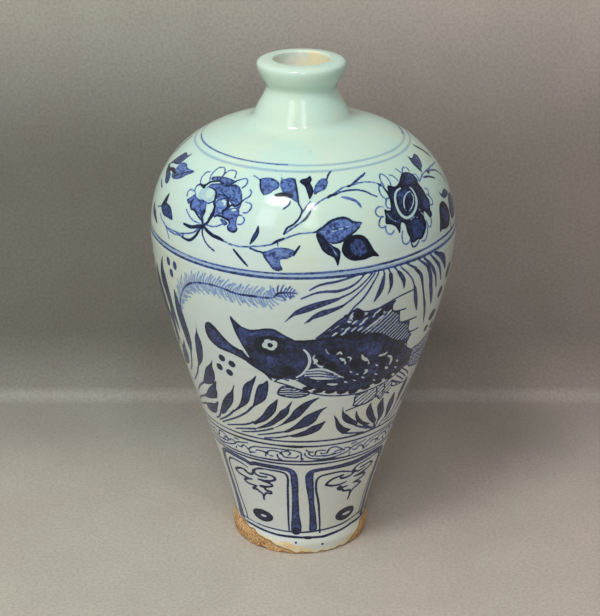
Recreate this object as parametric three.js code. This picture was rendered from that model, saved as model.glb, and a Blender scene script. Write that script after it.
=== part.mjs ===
// A tall plum vase (meiping) in porcelain. The potter throws it in sections, stacks them and
// lutes each one to the next with a ring of slip, so every section and every slip ring is a piece.
// Millimetres, +Z up, the middle of the foot's underside at the origin.
import * as THREE from 'three';

// Outline, from the foot upwards: heights are steps, each counted from the one below
const BELLY_RISE = 239.8;        // foot to the widest girth
const SHOULDER_RISE = 76.8;      // widest girth to the root of the neck
const NECK_RISE = 26.5;          // root of the neck to its narrowest girth
const RIM_RISE = 14.4;           // narrowest girth to the widest of the lip
const LIP_ROUNDING_RISE = 2.5;   // widest of the lip to its crest

// Outline radii
const FOOT_RADIUS = 46.2;
const BELLY_RADIUS = 108.4;
const NECK_ROOT_RADIUS = 46.4;
const NECK_RADIUS = 24.7;
const RIM_RADIUS = 31.1;
const LIP_ROUNDING_WIDTH = 3.8;  // widest of the lip in to its crest

// How far each bend reaches along its tangent
const FOOT_LEAN = 7.9;           // degrees that the wall leans out from upright at the foot
const FOOT_PULL = 76.6;
const BELLY_PULL_DOWN = 60;
const BELLY_PULL_UP = 27.7;
const SHOULDER_SLOPE = 13.2;     // degrees from level, where the shoulder meets the neck
const SHOULDER_PULL = 52.4;
const NECK_ROOT_PULL = 15.5;
const NECK_PULL = 6;
const RIM_PULL_LOW = 1.8;
const RIM_PULL_HIGH = 1.1;
const BORE_PULL = 8;             // the bore's flare, up from the narrowest girth
const CREST_PULL = 4.5;          // the lip's roll, in from its crest

// Walls
const FOOT_RING_WIDTH = 10.5;
const LOWER_WALL = 7.4;
const MIDDLE_WALL = 6.4;
const SHOULDER_WALL = 5.8;
const NECK_WALL = 5.8;

// Sections
const FOOT_RING_HEIGHT = 8;
const FOOT_BEVEL = 1.6;
const BASE_THICKNESS = 10;
const LOWER_SEAM = 112;          // height of the joint between the lower and the middle section
const NECK_SEAM_RISE = 4;        // root of the neck to the joint where the neck is stuck on
const SLIP_THICKNESS = 1.2;
const SLIP_BEAD = 1.6;           // how far the squeezed slip stands into the hollow

// Fineness of the turned shapes
const SEGMENTS = 48;
const OUTLINE_STEPS = 320;

const bellyHeight = BELLY_RISE;
const neckRootHeight = bellyHeight + SHOULDER_RISE;
const neckHeight = neckRootHeight + NECK_RISE;
const rimHeight = neckHeight + RIM_RISE;
const crestHeight = rimHeight + LIP_ROUNDING_RISE;
const crestRadius = RIM_RADIUS - LIP_ROUNDING_WIDTH;
const boreRadius = NECK_RADIUS - NECK_WALL;
const neckSeam = neckRootHeight + NECK_SEAM_RISE;

const point = (radius, height) => new THREE.Vector2(radius, height);

// A point a given length away, along a direction in degrees above level
function along(start, degrees, length) {
  const angle = THREE.MathUtils.degToRad(degrees);
  return point(start.x + length * Math.cos(angle), start.y + length * Math.sin(angle));
}

// The outside of the vase, foot to narrowest girth, as one smooth path
function bodyOutline() {
  const foot = point(FOOT_RADIUS, 0);
  const belly = point(BELLY_RADIUS, bellyHeight);
  const neckRoot = point(NECK_ROOT_RADIUS, neckRootHeight);
  const neck = point(NECK_RADIUS, neckHeight);
  const path = new THREE.CurvePath();
  path.add(new THREE.CubicBezierCurve(
    foot,
    along(foot, 90 - FOOT_LEAN, FOOT_PULL),
    along(belly, -90, BELLY_PULL_DOWN),
    belly,
  ));
  path.add(new THREE.CubicBezierCurve(
    belly,
    along(belly, 90, BELLY_PULL_UP),
    along(neckRoot, -SHOULDER_SLOPE, SHOULDER_PULL),
    neckRoot,
  ));
  path.add(new THREE.CubicBezierCurve(
    neckRoot,
    along(neckRoot, 180 - SHOULDER_SLOPE, NECK_ROOT_PULL),
    along(neck, -90, NECK_PULL),
    neck,
  ));
  return path.getSpacedPoints(OUTLINE_STEPS);
}

// The same path moved into the clay by the thickness of the wall
function offsetInward(points, thickness) {
  return points.map((here, i) => {
    const before = points[Math.max(i - 1, 0)];
    const after = points[Math.min(i + 1, points.length - 1)];
    const way = after.clone().sub(before).normalize();
    return point(here.x - thickness * way.y, here.y + thickness * way.x);
  });
}

// The radius of a path where it crosses a height, carried on straight past its ends
function radiusAt(points, height) {
  const found = points.findIndex((p) => p.y >= height);
  const i = found < 0 ? points.length - 1 : Math.max(found, 1);
  const below = points[i - 1];
  const above = points[i];
  return THREE.MathUtils.mapLinear(height, below.y, above.y, below.x, above.x);
}

// Evenly spaced points of a path from one height up to another
function between(points, low, high, steps) {
  const run = [point(radiusAt(points, low), low)];
  run.push(...points.filter((p) => p.y > low && p.y < high));
  run.push(point(radiusAt(points, high), high));
  const lengths = run.map((p, i) => (i ? p.distanceTo(run[i - 1]) : 0));
  const total = lengths.reduce((sum, length) => sum + length, 0);
  const picked = [run[0]];
  let walked = 0;
  for (let i = 1; i < run.length; i += 1) {
    walked += lengths[i];
    if (walked >= (total * picked.length) / steps && picked.length < steps) {
      picked.push(run[i]);
    }
  }
  picked.push(run.at(-1));
  return picked;
}

function turned(name, outline, material) {
  const closed = [...outline, outline[0].clone()];
  const geometry = new THREE.LatheGeometry(closed, SEGMENTS);
  geometry.rotateX(Math.PI / 2);
  const mesh = new THREE.Mesh(geometry, material);
  mesh.name = name;
  return mesh;
}

const outside = bodyOutline();

const glazedClay = (color) => new THREE.MeshStandardMaterial({ color, roughness: 0.16, metalness: 0 });
const bareClay = new THREE.MeshStandardMaterial({ color: 0xb98a5e, roughness: 0.9, metalness: 0 });
const driedSlip = new THREE.MeshStandardMaterial({ color: 0xd9d2c0, roughness: 0.8, metalness: 0 });

// A thrown section: the outline outside, the same outline less the wall inside, cut level at both joints
function section(name, low, high, wall, steps, color) {
  const outer = between(outside, low, high, steps);
  const inner = between(offsetInward(outside, wall), low, high, steps - 2);
  return turned(name, [...outer, ...inner.reverse()], glazedClay(color));
}

// A ring of slip in a joint, flush outside and squeezed out as a bead inside
function slipRing(name, low, innerRadius) {
  const high = low + SLIP_THICKNESS;
  const middle = (low + high) / 2;
  return turned(name, [
    point(radiusAt(outside, low), low),
    point(radiusAt(outside, high), high),
    point(innerRadius, high),
    point(innerRadius - SLIP_BEAD, middle),
    point(innerRadius, low),
  ], driedSlip);
}

// The foot ring that the vase stands on, its outer edge bevelled
function footRing() {
  const outer = radiusAt(outside, FOOT_BEVEL);
  const inner = FOOT_RADIUS - FOOT_RING_WIDTH;
  return turned('foot_ring', [
    point(outer - FOOT_BEVEL, 0),
    point(outer, FOOT_BEVEL),
    point(radiusAt(outside, FOOT_RING_HEIGHT), FOOT_RING_HEIGHT),
    point(inner, FOOT_RING_HEIGHT),
    point(inner, 0),
  ], bareClay);
}

// The slab that closes the bottom
function baseDisc(low) {
  const high = low + BASE_THICKNESS;
  return turned('base_disc', [
    point(0, low),
    point(radiusAt(outside, low), low),
    point(radiusAt(outside, high), high),
    point(0, high),
  ], bareClay);
}

// The mouth: a flare, a rolled lip and the flared end of the bore
function mouthRim() {
  const neck = point(NECK_RADIUS, neckHeight);
  const rim = point(RIM_RADIUS, rimHeight);
  const crest = point(crestRadius, crestHeight);
  const bore = point(boreRadius, neckHeight);
  const flare = new THREE.CubicBezierCurve(
    neck,
    along(neck, 90, RIM_PULL_LOW),
    along(rim, -90, RIM_PULL_HIGH),
    rim,
  );
  const lip = new THREE.QuadraticBezierCurve(rim, point(RIM_RADIUS, crestHeight), crest);
  const throat = new THREE.CubicBezierCurve(
    crest,
    along(crest, 180, CREST_PULL),
    along(bore, 90, BORE_PULL),
    bore,
  );
  return turned('mouth_rim', [
    ...flare.getPoints(5),
    ...lip.getPoints(4).slice(1),
    ...throat.getPoints(7).slice(1),
  ], glazedClay(0xbfe0d2));
}

const slipFoot = FOOT_RING_HEIGHT;
const baseBottom = slipFoot + SLIP_THICKNESS;
const slipBase = baseBottom + BASE_THICKNESS;
const lowerBottom = slipBase + SLIP_THICKNESS;
const middleBottom = LOWER_SEAM + SLIP_THICKNESS;
const shoulderBottom = bellyHeight + SLIP_THICKNESS;
const neckBottom = neckSeam + SLIP_THICKNESS;

// How far in the bead of a joint starts: level with the thinner of the two walls it joins
const boreAt = (wall, height) => radiusAt(offsetInward(outside, wall), height);
const lowerBeadRadius = Math.max(boreAt(LOWER_WALL, LOWER_SEAM), boreAt(MIDDLE_WALL, LOWER_SEAM));
const bellyBeadRadius = Math.max(boreAt(MIDDLE_WALL, bellyHeight), boreAt(SHOULDER_WALL, bellyHeight));
const neckBeadRadius = Math.min(boreAt(SHOULDER_WALL, neckSeam), boreAt(NECK_WALL, neckSeam));

const vase = new THREE.Group();
vase.name = 'plum_vase';
vase.add(footRing());
vase.add(slipRing('slip_foot', slipFoot, FOOT_RADIUS - FOOT_RING_WIDTH));
vase.add(baseDisc(baseBottom));
vase.add(slipRing('slip_base', slipBase, boreAt(LOWER_WALL, slipBase)));
vase.add(section('lower_wall', lowerBottom, LOWER_SEAM, LOWER_WALL, 9, 0xdfe8ea));
vase.add(slipRing('slip_lower', LOWER_SEAM, lowerBeadRadius));
vase.add(section('middle_wall', middleBottom, bellyHeight, MIDDLE_WALL, 10, 0xdfe9e6));
vase.add(slipRing('slip_belly', bellyHeight, bellyBeadRadius));
vase.add(section('shoulder', shoulderBottom, neckSeam, SHOULDER_WALL, 14, 0xd8eade));
vase.add(slipRing('slip_neck', neckSeam, neckBeadRadius));
vase.add(section('neck', neckBottom, neckHeight, NECK_WALL, 7, 0xc6e4d6));
vase.add(mouthRim());

export default vase;
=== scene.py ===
# %% [markdown]
# A plum vase in blue and white
#
# The real vase is one fired body of porcelain. The potter throws it in sections, lutes them
# together with slip, turns the outside true, paints it in cobalt and dips it in a clear glaze.
# Here the CAD frame gives the sections and their sizes. This script turns a fine surface for
# each of them, paints it stroke by stroke, and glazes it with shader nodes.

import math

import bmesh
import bpy
import numpy as np
from mathutils import Matrix, Vector


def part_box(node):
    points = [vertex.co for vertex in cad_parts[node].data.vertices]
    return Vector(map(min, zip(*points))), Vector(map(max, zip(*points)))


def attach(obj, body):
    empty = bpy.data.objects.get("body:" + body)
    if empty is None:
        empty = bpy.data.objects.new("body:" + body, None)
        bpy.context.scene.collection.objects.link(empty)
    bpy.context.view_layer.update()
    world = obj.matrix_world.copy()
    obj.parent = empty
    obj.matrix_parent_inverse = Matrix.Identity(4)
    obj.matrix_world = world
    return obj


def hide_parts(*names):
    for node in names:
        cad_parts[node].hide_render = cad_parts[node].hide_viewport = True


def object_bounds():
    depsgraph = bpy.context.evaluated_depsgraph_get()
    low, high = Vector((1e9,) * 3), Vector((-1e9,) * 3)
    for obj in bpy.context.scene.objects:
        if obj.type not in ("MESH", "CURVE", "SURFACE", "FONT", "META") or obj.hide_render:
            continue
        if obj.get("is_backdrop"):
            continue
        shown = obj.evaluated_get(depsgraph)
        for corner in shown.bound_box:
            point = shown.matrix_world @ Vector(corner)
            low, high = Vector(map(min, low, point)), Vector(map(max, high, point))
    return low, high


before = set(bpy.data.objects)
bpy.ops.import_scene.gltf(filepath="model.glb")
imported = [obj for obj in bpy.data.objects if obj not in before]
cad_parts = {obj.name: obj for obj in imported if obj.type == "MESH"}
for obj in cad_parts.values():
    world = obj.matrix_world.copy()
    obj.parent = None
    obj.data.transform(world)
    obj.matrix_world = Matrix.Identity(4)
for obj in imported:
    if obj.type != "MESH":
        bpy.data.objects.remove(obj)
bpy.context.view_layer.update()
MM = 0.001

# %% [markdown]
# The outline of the vase
#
# A turned pot is one outline swept round its axis. The outline could be a long list of points,
# but a few curves hold it better: each bend is a cubic curve, set by its two ends and by how far
# it reaches along its tangents. The heights and the radii are in millimetres.

# %% The outline as curves
FOOT_RADIUS = 46.2
BELLY_RADIUS = 108.4
BELLY_HEIGHT = 239.8
NECK_ROOT_RADIUS = 46.4
NECK_ROOT_HEIGHT = 316.6
NECK_RADIUS = 24.8
NECK_HEIGHT = 342.6
RIM_RADIUS = 31.1
RIM_HEIGHT = 358.3
CREST_RADIUS = 21.3
CREST_HEIGHT = 362.3
BORE_RADIUS = 18.9
FOOT_LEAN = 7.9
FOOT_FLARE = 3.2
FLARE_LOW = 7.0
FLARE_HIGH = 19.0
SHOULDER_SLOPE = 13.2
NECK_SLOPE = 66.5
NECK_FOOT = (33.2, 324.4)
LIP_ROOT = (28.3, 349.9)
LIP_SLOPE = 62
MOUTH_EDGE = (19.5, 359.6)
CURVE_STEPS = 400
THROAT_STEPS = 200
KEEP_EVERY = 16


def away(start, degrees, length):
    """A point a given length from start, along a direction in degrees above level."""
    angle = math.radians(degrees)
    return (start[0] + length * math.cos(angle), start[1] + length * math.sin(angle))


def bend(start, pull, push, end, steps=CURVE_STEPS):
    """The points of a cubic curve, its first one left out."""
    t = np.linspace(0, 1, steps + 1)[1:, None]
    a, b, c, d = (np.array(p, float) for p in (start, pull, push, end))
    return (1 - t) ** 3 * a + 3 * (1 - t) ** 2 * t * b + 3 * (1 - t) * t ** 2 * c + t ** 3 * d


foot = (FOOT_RADIUS, 0)
belly = (BELLY_RADIUS, BELLY_HEIGHT)
neck_root = (NECK_ROOT_RADIUS, NECK_ROOT_HEIGHT)
neck_foot = NECK_FOOT
neck = (NECK_RADIUS, NECK_HEIGHT)
lip_root = LIP_ROOT
rim = (RIM_RADIUS, RIM_HEIGHT)
crest = (CREST_RADIUS, CREST_HEIGHT)
mouth_edge = MOUTH_EDGE
bore = (BORE_RADIUS, NECK_HEIGHT)

outline = np.vstack([
    np.array([foot]),
    bend(foot, away(foot, 90 - FOOT_LEAN, 76.6), away(belly, -90, 60), belly),
    bend(belly, away(belly, 90, 27.7), away(neck_root, -SHOULDER_SLOPE, 52.4), neck_root),
    bend(neck_root, away(neck_root, 180 - SHOULDER_SLOPE, 10.5), away(neck_foot, -NECK_SLOPE, 3.6),
         neck_foot),
    bend(neck_foot, away(neck_foot, 180 - NECK_SLOPE, 9), away(neck, -90, 4.5), neck),
    bend(neck, away(neck, 90, 3.0), away(lip_root, LIP_SLOPE - 180, 2.8), lip_root),
    bend(lip_root, away(lip_root, LIP_SLOPE, 3.0), away(rim, -90, 2.9), rim),
    bend(rim, away(rim, 90, 3.0), away(crest, 0, 6.0), crest),
])
flare = np.clip((FLARE_HIGH - outline[:, 1]) / (FLARE_HIGH - FLARE_LOW), 0, 1)
outline[:, 0] += FOOT_FLARE * flare ** 2 * (3 - 2 * flare)
throat = np.vstack([
    bend(crest, away(crest, 180, 1.4), away(mouth_edge, 90, 2.2), mouth_edge, THROAT_STEPS),
    bend(mouth_edge, away(mouth_edge, -90, 5), away(bore, 90, 5), bore, THROAT_STEPS),
])
print("outline points:", len(outline))

# %% [markdown]
# Distance along the outline
#
# The painter works on the surface, not on a map, so a place on the pot is given by two numbers:
# the azimuth round the axis in degrees, with 0 facing the camera, and the distance up along the
# outline from the foot, in millimetres.

# %% Arc length
steps_along = np.hypot(*np.diff(outline, axis=0).T)
arc = np.concatenate([[0], np.cumsum(steps_along)])


def arc_at(height):
    """Distance along the outline at a height. The outline only ever climbs."""
    return np.interp(height, outline[:, 1], arc)


def outside(low, high, count):
    """Evenly spaced points of the outline between two heights."""
    s = np.linspace(arc_at(low), arc_at(high), count)
    return np.column_stack([np.interp(s, arc, outline[:, 0]), np.interp(s, arc, outline[:, 1])])


def inside(low, high, wall, count):
    """Points of the hollow's wall between two heights, from the top down."""
    ways = np.gradient(outline, axis=0)
    ways /= np.hypot(ways[:, 0], ways[:, 1])[:, None]
    hollow = np.column_stack([outline[:, 0] - wall * ways[:, 1], outline[:, 1] + wall * ways[:, 0]])
    heights = np.linspace(high, low, count)
    return np.column_stack([np.interp(heights, hollow[:, 1], hollow[:, 0]), heights])


print("arc length, mm:", round(arc[-1], 1))

# %% [markdown]
# Turning a section
#
# Each section is a closed profile that goes round the axis. One full spin of so many steps is
# slow, so a slice is spun, doubled until it is a whole ring, and merged where it meets itself.
# Edges where two walls meet at an angle are marked sharp, so the glaze keeps its smooth shading
# right up to the joint. At the end each piece leans and swells as the kiln and the hand left it.

# %% Spin a profile into a piece
TURN_STEPS = 960
MERGE_DISTANCE = 1e-5
DOUBLINGS = 4
SHARP_ANGLE = math.radians(38)


def turn(name, profile, turn_steps=TURN_STEPS):
    """A profile in mm (radius, height), spun into a closed piece."""
    mesh = bmesh.new()
    ring = [mesh.verts.new((0, -r * MM, z * MM)) for r, z in profile]
    edges = [mesh.edges.new(pair) for pair in zip(ring, ring[1:] + ring[:1])]
    parts = 2 ** DOUBLINGS
    bmesh.ops.spin(mesh, geom=ring + edges, cent=(0, 0, 0), axis=(0, 0, 1),
                   angle=math.tau / parts, steps=turn_steps // parts)
    for doubling in range(DOUBLINGS):
        geometry = mesh.verts[:] + mesh.edges[:] + mesh.faces[:]
        copy = bmesh.ops.duplicate(mesh, geom=geometry)["geom"]
        verts = [part for part in copy if isinstance(part, bmesh.types.BMVert)]
        turned = Matrix.Rotation(math.tau / parts * 2 ** doubling, 3, "Z")
        bmesh.ops.rotate(mesh, verts=verts, cent=(0, 0, 0), matrix=turned)
    bmesh.ops.remove_doubles(mesh, verts=mesh.verts, dist=MERGE_DISTANCE)
    bmesh.ops.recalc_face_normals(mesh, faces=mesh.faces)
    for face in mesh.faces:
        face.smooth = True
    for edge in mesh.edges:
        edge.smooth = edge.calc_face_angle(0) < SHARP_ANGLE
    data = bpy.data.meshes.new(name)
    mesh.to_mesh(data)
    mesh.free()
    piece = bpy.data.objects.new(name, data)
    bpy.context.scene.collection.objects.link(piece)
    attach(piece, "root")
    print(name, "faces:", len(data.polygons))
    return piece


print("turn steps:", TURN_STEPS)

# %% Lean a piece
LEAN_HEIGHTS = (0, 90, 173, 240, 330, 360)
LEAN = (0, 0.8, 1.75, 2.3, 1.1, 0.95)
RING_DEPTH = 0.035
RING_PITCH = 8.5
RING_FADE = 31
SEAMS = (88.0, 239.8)
SEAM_SWELL = 0.3
SEAM_SPREAD = 4.0
OVAL = 0.0016
OVAL_TURN = 0.8
THREE_SIDED = 0.0009


def coordinates(piece):
    """The piece's vertices in mm, as an array."""
    places = np.empty(len(piece.data.vertices) * 3)
    piece.data.vertices.foreach_get("co", places)
    return places.reshape(-1, 3) / MM


def move_to(piece, places):
    """Puts the piece's vertices at new places in mm."""
    piece.data.vertices.foreach_set("co", (places * MM).ravel())
    piece.data.update()


def lean(piece):
    """Leans the piece as the real body leans, with the marks of the throwing."""
    places = coordinates(piece)
    azimuth = np.arctan2(places[:, 0], -places[:, 1])
    height = places[:, 2]
    swell = 1 + OVAL * np.cos(2 * azimuth + OVAL_TURN) + THREE_SIDED * np.cos(3 * azimuth)
    marks = RING_DEPTH * np.sin(height * math.tau / RING_PITCH + azimuth) * np.sin(height / RING_FADE)
    for seam in SEAMS:
        marks = marks + SEAM_SWELL * np.exp(-((height - seam) / SEAM_SPREAD) ** 2)
    swell = swell + marks / BELLY_RADIUS
    places[:, :2] *= swell[:, None]
    places[:, 0] += np.interp(height, LEAN_HEIGHTS, LEAN)
    move_to(piece, places)


print("most lean, mm:", max(LEAN))

# %% [markdown]
# The sections
#
# The heights of the joints come from the CAD nodes, so every piece sits where the frame says.
# No piece is as tall as the whole vase: each band of painting has its own, which keeps the mesh
# fine where the brush lines are.

# %% Heights of the joints
def high_of(node):
    """The height of a node's top, in mm."""
    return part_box(node)[1].z / MM


RING_TOP = high_of("slip_foot")
WALL_LOW = high_of("base_disc")
LOWER_TOP = high_of("slip_lower")
MIDDLE_TOP = high_of("slip_belly")
FISH_SPLIT = 176.0
PAINTED_TOP = 312.0
LOWER_WALL = 7.4
MIDDLE_WALL = 6.4
SHOULDER_WALL = 5.8
OUTER_ROWS = 92
INNER_ROWS = 10
print("joints, mm:", [round(z, 1) for z in (RING_TOP, WALL_LOW, LOWER_TOP, MIDDLE_TOP)])

# %% Turn the walls
WALLS = {
    "lower_body": (WALL_LOW, LOWER_TOP, LOWER_WALL),
    "middle_body_low": (LOWER_TOP, FISH_SPLIT, MIDDLE_WALL),
    "middle_body_high": (FISH_SPLIT, MIDDLE_TOP, MIDDLE_WALL),
    "shoulder_painted": (MIDDLE_TOP, PAINTED_TOP, SHOULDER_WALL),
}
pieces = {}
for wall_name, (low, high, thickness) in WALLS.items():
    profile = np.vstack([outside(low, high, OUTER_ROWS), inside(low, high, thickness, INNER_ROWS)])
    pieces[wall_name] = turn(wall_name, profile)

# %% [markdown]
# The neck and the mouth
#
# Above the painting the shoulder runs into a short neck, thrown apart and stuck on, and ends in
# a lip that was rolled over with a wet finger.

# %% Turn the neck and the mouth
NECK_TURN_STEPS = 480
neck_profile = np.vstack([
    outside(PAINTED_TOP, NECK_HEIGHT, 40),
    inside(PAINTED_TOP, NECK_HEIGHT - 1, SHOULDER_WALL, 14),
])
mouth_outer = outline[outline[:, 1] > NECK_HEIGHT][::KEEP_EVERY]
mouth_profile = np.vstack([[neck], mouth_outer, [crest], throat[::KEEP_EVERY]])
pieces["neck_plain"] = turn("neck_plain", neck_profile, NECK_TURN_STEPS)
pieces["mouth_lip"] = turn("mouth_lip", mouth_profile, NECK_TURN_STEPS)

# %% [markdown]
# The foot
#
# The foot ring is wiped bare of glaze, so that the vase doesn't stick to the kiln shelf. Its
# outer edge is bevelled, and years of use have chipped it.

# %% Turn the foot
FOOT_RING_WIDTH = 10.5
FOOT_BEVEL = 0.45
FOOT_TURN_STEPS = 720
foot_inner = FOOT_RADIUS - FOOT_RING_WIDTH
foot_outer = outside(FOOT_BEVEL, WALL_LOW, 60)
foot_profile = np.vstack([
    np.array([(foot_inner, 0), (foot_outer[0][0] - FOOT_BEVEL, 0)]),
    foot_outer,
    np.array([(0.0, WALL_LOW), (0.0, RING_TOP), (foot_inner, RING_TOP)]),
])
pieces["foot_and_base"] = turn("foot_and_base", foot_profile, FOOT_TURN_STEPS)

# %% Chip the foot
CHIPS = ((-57, 7, 2.4), (-44, 5, 1.3), (-34, 5, 2.6), (-24, 4, 1.2), (-14, 5, 2.0), (3, 4, 0.8),
         (33, 5, 0.9), (52, 7, 1.6), (74, 8, 2.2), (118, 9, 2.0), (160, 6, 1.4), (-150, 9, 2.4),
         (-105, 7, 1.6), (-80, 5, 1.5))
CHIP_BASE = 0.35
CHIP_WAVES = ((0.2, 19), (0.15, 47))
CHIP_ROUNDING = 0.6
CHIP_HIGHEST = 3
CHIP_REACH = 2.5
CHIP_SHRINK = 0.75
places = coordinates(pieces["foot_and_base"])
azimuth = np.degrees(np.arctan2(places[:, 0], -places[:, 1]))
radius = np.hypot(places[:, 0], places[:, 1])
broken = CHIP_BASE + sum(size * np.sin(np.radians(azimuth) * count) for size, count in CHIP_WAVES)
for chip_azimuth, half_width, depth in CHIPS:
    off = ((azimuth - chip_azimuth + 180) % 360 - 180) / half_width
    broken = np.maximum(broken, depth * np.clip(1 - off ** 2, 0, 1) ** CHIP_ROUNDING)
lost = np.clip(broken - places[:, 2], 0, CHIP_HIGHEST) * (radius > outline[0, 0] - CHIP_REACH)
places[:, :2] *= (1 - CHIP_SHRINK * lost / np.maximum(radius, 1))[:, None]
move_to(pieces["foot_and_base"], places)
print("chips:", len(CHIPS))

# %% [markdown]
# The canvas
#
# The painter's strokes could be an image on the pot, but an image has one fineness and a seam.
# Here every point of the mesh knows how far it is from the edge of the nearest stroke, less
# than nothing inside the stroke. The shader turns that distance into a crisp edge, at any size.
# There are three layers, as on the real pot: washes and solid fills, thin places left white in
# them, and the dark lines over both.

# %% Places of the canvas
PAINTED = ("foot_and_base", "lower_body", "middle_body_low", "middle_body_high", "shoulder_painted")
FAR = 9.0
SKIN = 0.4

painted = [pieces[name] for name in PAINTED]
places = np.vstack([coordinates(piece) for piece in painted])
radius = np.hypot(places[:, 0], places[:, 1])
on_skin = radius > np.interp(places[:, 2], outline[:, 1], outline[:, 0]) - SKIN
canvas = np.flatnonzero(on_skin)
canvas = canvas[np.argsort(places[canvas, 2], kind="stable")]
AZIMUTH = np.degrees(np.arctan2(places[canvas, 0], -places[canvas, 1]))
CLIMB = arc_at(places[canvas, 2])
MM_PER_DEGREE = np.radians(radius[canvas])
gaps = {layer: np.full(len(canvas), FAR) for layer in ("fill", "line", "white")}
tones = {layer: np.zeros(len(canvas)) for layer in ("fill", "line", "white")}
print("canvas places:", len(canvas))

# %% [markdown]
# Brushes
#
# A stroke is a smooth curve through a few points, each an azimuth in degrees and a climb in mm.
# A fill is the inside of such a curve. Both are measured in real millimetres on the clay, and
# both come back round the pot, because the same motifs are painted on its far side.

# %% Curves and gaps
SPANS = 5


def smooth(points, closed=False):
    """A curve through the points, with SPANS steps between each two."""
    p = np.array(points, float)
    if closed:
        p = np.vstack([p[-1:], p, p[:2]])
    else:
        p = np.vstack([2 * p[:1] - p[1:2], p, 2 * p[-1:] - p[-2:-1]])
    t = np.linspace(0, 1, SPANS, endpoint=False)[None, :, None]
    a, b, c, d = (p[i:len(p) - 3 + i, None] for i in range(4))
    curve = 0.5 * (2 * b + (c - a) * t + (2 * a - 5 * b + 4 * c - d) * t ** 2
                   + (3 * b - a - 3 * c + d) * t ** 3)
    curve = curve.reshape(-1, 2)
    return curve if closed else np.vstack([curve, p[-2:-1]])


def near(curve, period, reach):
    """The canvas places round a curve, and their azimuth counted from the curve's middle."""
    middle = (curve[:, 0].min() + curve[:, 0].max()) / 2
    first, last = np.searchsorted(CLIMB, [curve[:, 1].min() - reach, curve[:, 1].max() + reach])
    across = (AZIMUTH[first:last] - middle + period / 2) % period - period / 2
    half = np.ptp(curve[:, 0]) / 2 + reach / MM_PER_DEGREE[first:last]
    at = np.flatnonzero(np.abs(across) < half)
    return at + first, across[at] + middle


def distance(curve, widths, at, azimuth):
    """The gap in mm from each place to the edge of a line of those widths."""
    scale = MM_PER_DEGREE[at][:, None]
    start_x = (azimuth[:, None] - curve[None, :-1, 0]) * scale
    start_y = CLIMB[at][:, None] - curve[None, :-1, 1]
    run_x = np.diff(curve[:, 0])[None, :] * scale
    run_y = np.diff(curve[:, 1])[None, :]
    share = (start_x * run_x + start_y * run_y) / np.maximum(run_x ** 2 + run_y ** 2, 1e-9)
    share = np.clip(share, 0, 1)
    width = widths[None, :-1] + share * np.diff(widths)[None, :]
    gap = np.hypot(start_x - share * run_x, start_y - share * run_y) - width / 2
    return gap.min(axis=1)


def within(curve, at, azimuth):
    """True where a place is inside a closed curve."""
    x, y = azimuth[:, None], CLIMB[at][:, None]
    ax, ay = curve[None, :, 0], curve[None, :, 1]
    bx, by = np.roll(ax, -1, axis=1), np.roll(ay, -1, axis=1)
    spans = (ay > y) != (by > y)
    rise = np.where(by == ay, 1e-9, by - ay)
    crosses = spans & (x < ax + (y - ay) * (bx - ax) / rise)
    return crosses.sum(axis=1) % 2 == 1


print("steps between two points:", SPANS)

# %% Strokes, fills and hatching
WASH, THIN, MID, DARK, HEAPED = 0.33, 0.36, 0.56, 0.8, 1.0
HALF_ROUND = 180
ALL_ROUND = 360
LEAST_WIDTH = 1.1
REACH = 2.2
HATCH_REACH = 0.5
HATCH_WAVES = 0.8


def lay(layer, at, gap, tone):
    """Puts a stroke on a layer: the nearest edge counts, and the last fill or the darkest line."""
    old = gaps[layer][at]
    takes = (gap < old) | ((gap < 0) & (layer == "fill"))
    both = (gap < 0) & (old < 0) & (layer == "line")
    tones[layer][at] = np.where(both, np.maximum(tones[layer][at], tone),
                                np.where(takes, tone, tones[layer][at]))
    gaps[layer][at] = np.minimum(old, gap)


def stroke(points, width=LEAST_WIDTH, tone=MID, period=HALF_ROUND, layer="line", ends=0.55):
    """A line of the brush. width is one number, or a few numbers spread along the line."""
    curve = smooth(points)
    share = np.linspace(0, 1, len(curve))
    along = np.linspace(0, 1, np.size(width))
    widths = np.interp(share, along, np.atleast_1d(width).astype(float))
    if np.size(width) == 1:
        taper = np.minimum(1, 4 * np.minimum(share, 1 - share) + 0.12)
        widths = widths * (ends + (1 - ends) * taper)
    if layer == "line":
        widths = np.maximum(widths, LEAST_WIDTH)
    at, azimuth = near(curve, period, REACH + widths.max() / 2)
    if len(at):
        lay(layer, at, distance(curve, widths, at, azimuth), tone)


def fill(points, tone, period=HALF_ROUND, layer="fill"):
    """The inside of a closed curve."""
    curve = smooth(points, closed=True)
    at, azimuth = near(curve, period, REACH)
    if len(at):
        ring = np.vstack([curve, curve[:1]])
        gap = distance(ring, np.zeros(len(ring)), at, azimuth)
        lay(layer, at, np.where(within(curve, at, azimuth), -gap, gap), tone)


def dot(azimuth, climb, half_across, half_up, tone, period=HALF_ROUND, layer="line"):
    """A round spot, half_across in degrees and half_up in mm."""
    turns = np.radians(np.arange(0, 360, 45))
    fill([(azimuth + half_across * math.cos(turn), climb + half_up * math.sin(turn))
          for turn in turns], tone, period, layer)


def hatch(points, slope, spacing, width, tone, wave, layer="line"):
    """Parallel lines inside a closed curve. slope is their direction in degrees above level."""
    curve = smooth(points, closed=True)
    at, azimuth = near(curve, HALF_ROUND, HATCH_REACH)
    if not len(at):
        return
    x = (azimuth - curve[:, 0].mean()) * MM_PER_DEGREE[at]
    y = CLIMB[at] - curve[:, 1].mean()
    angle = math.radians(slope)
    across = y * math.cos(angle) - x * math.sin(angle)
    along = x * math.cos(angle) + y * math.sin(angle)
    across = across + wave * np.sin(along * HATCH_WAVES)
    lines = np.abs((across / spacing + 0.5) % 1 - 0.5) * spacing - width / 2
    gap = np.maximum(lines, np.where(within(curve, at, azimuth), -1.0, 1.0))
    lay(layer, at, gap, tone)


print("tones of the cobalt:", WASH, THIN, MID, DARK, HEAPED)

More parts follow.
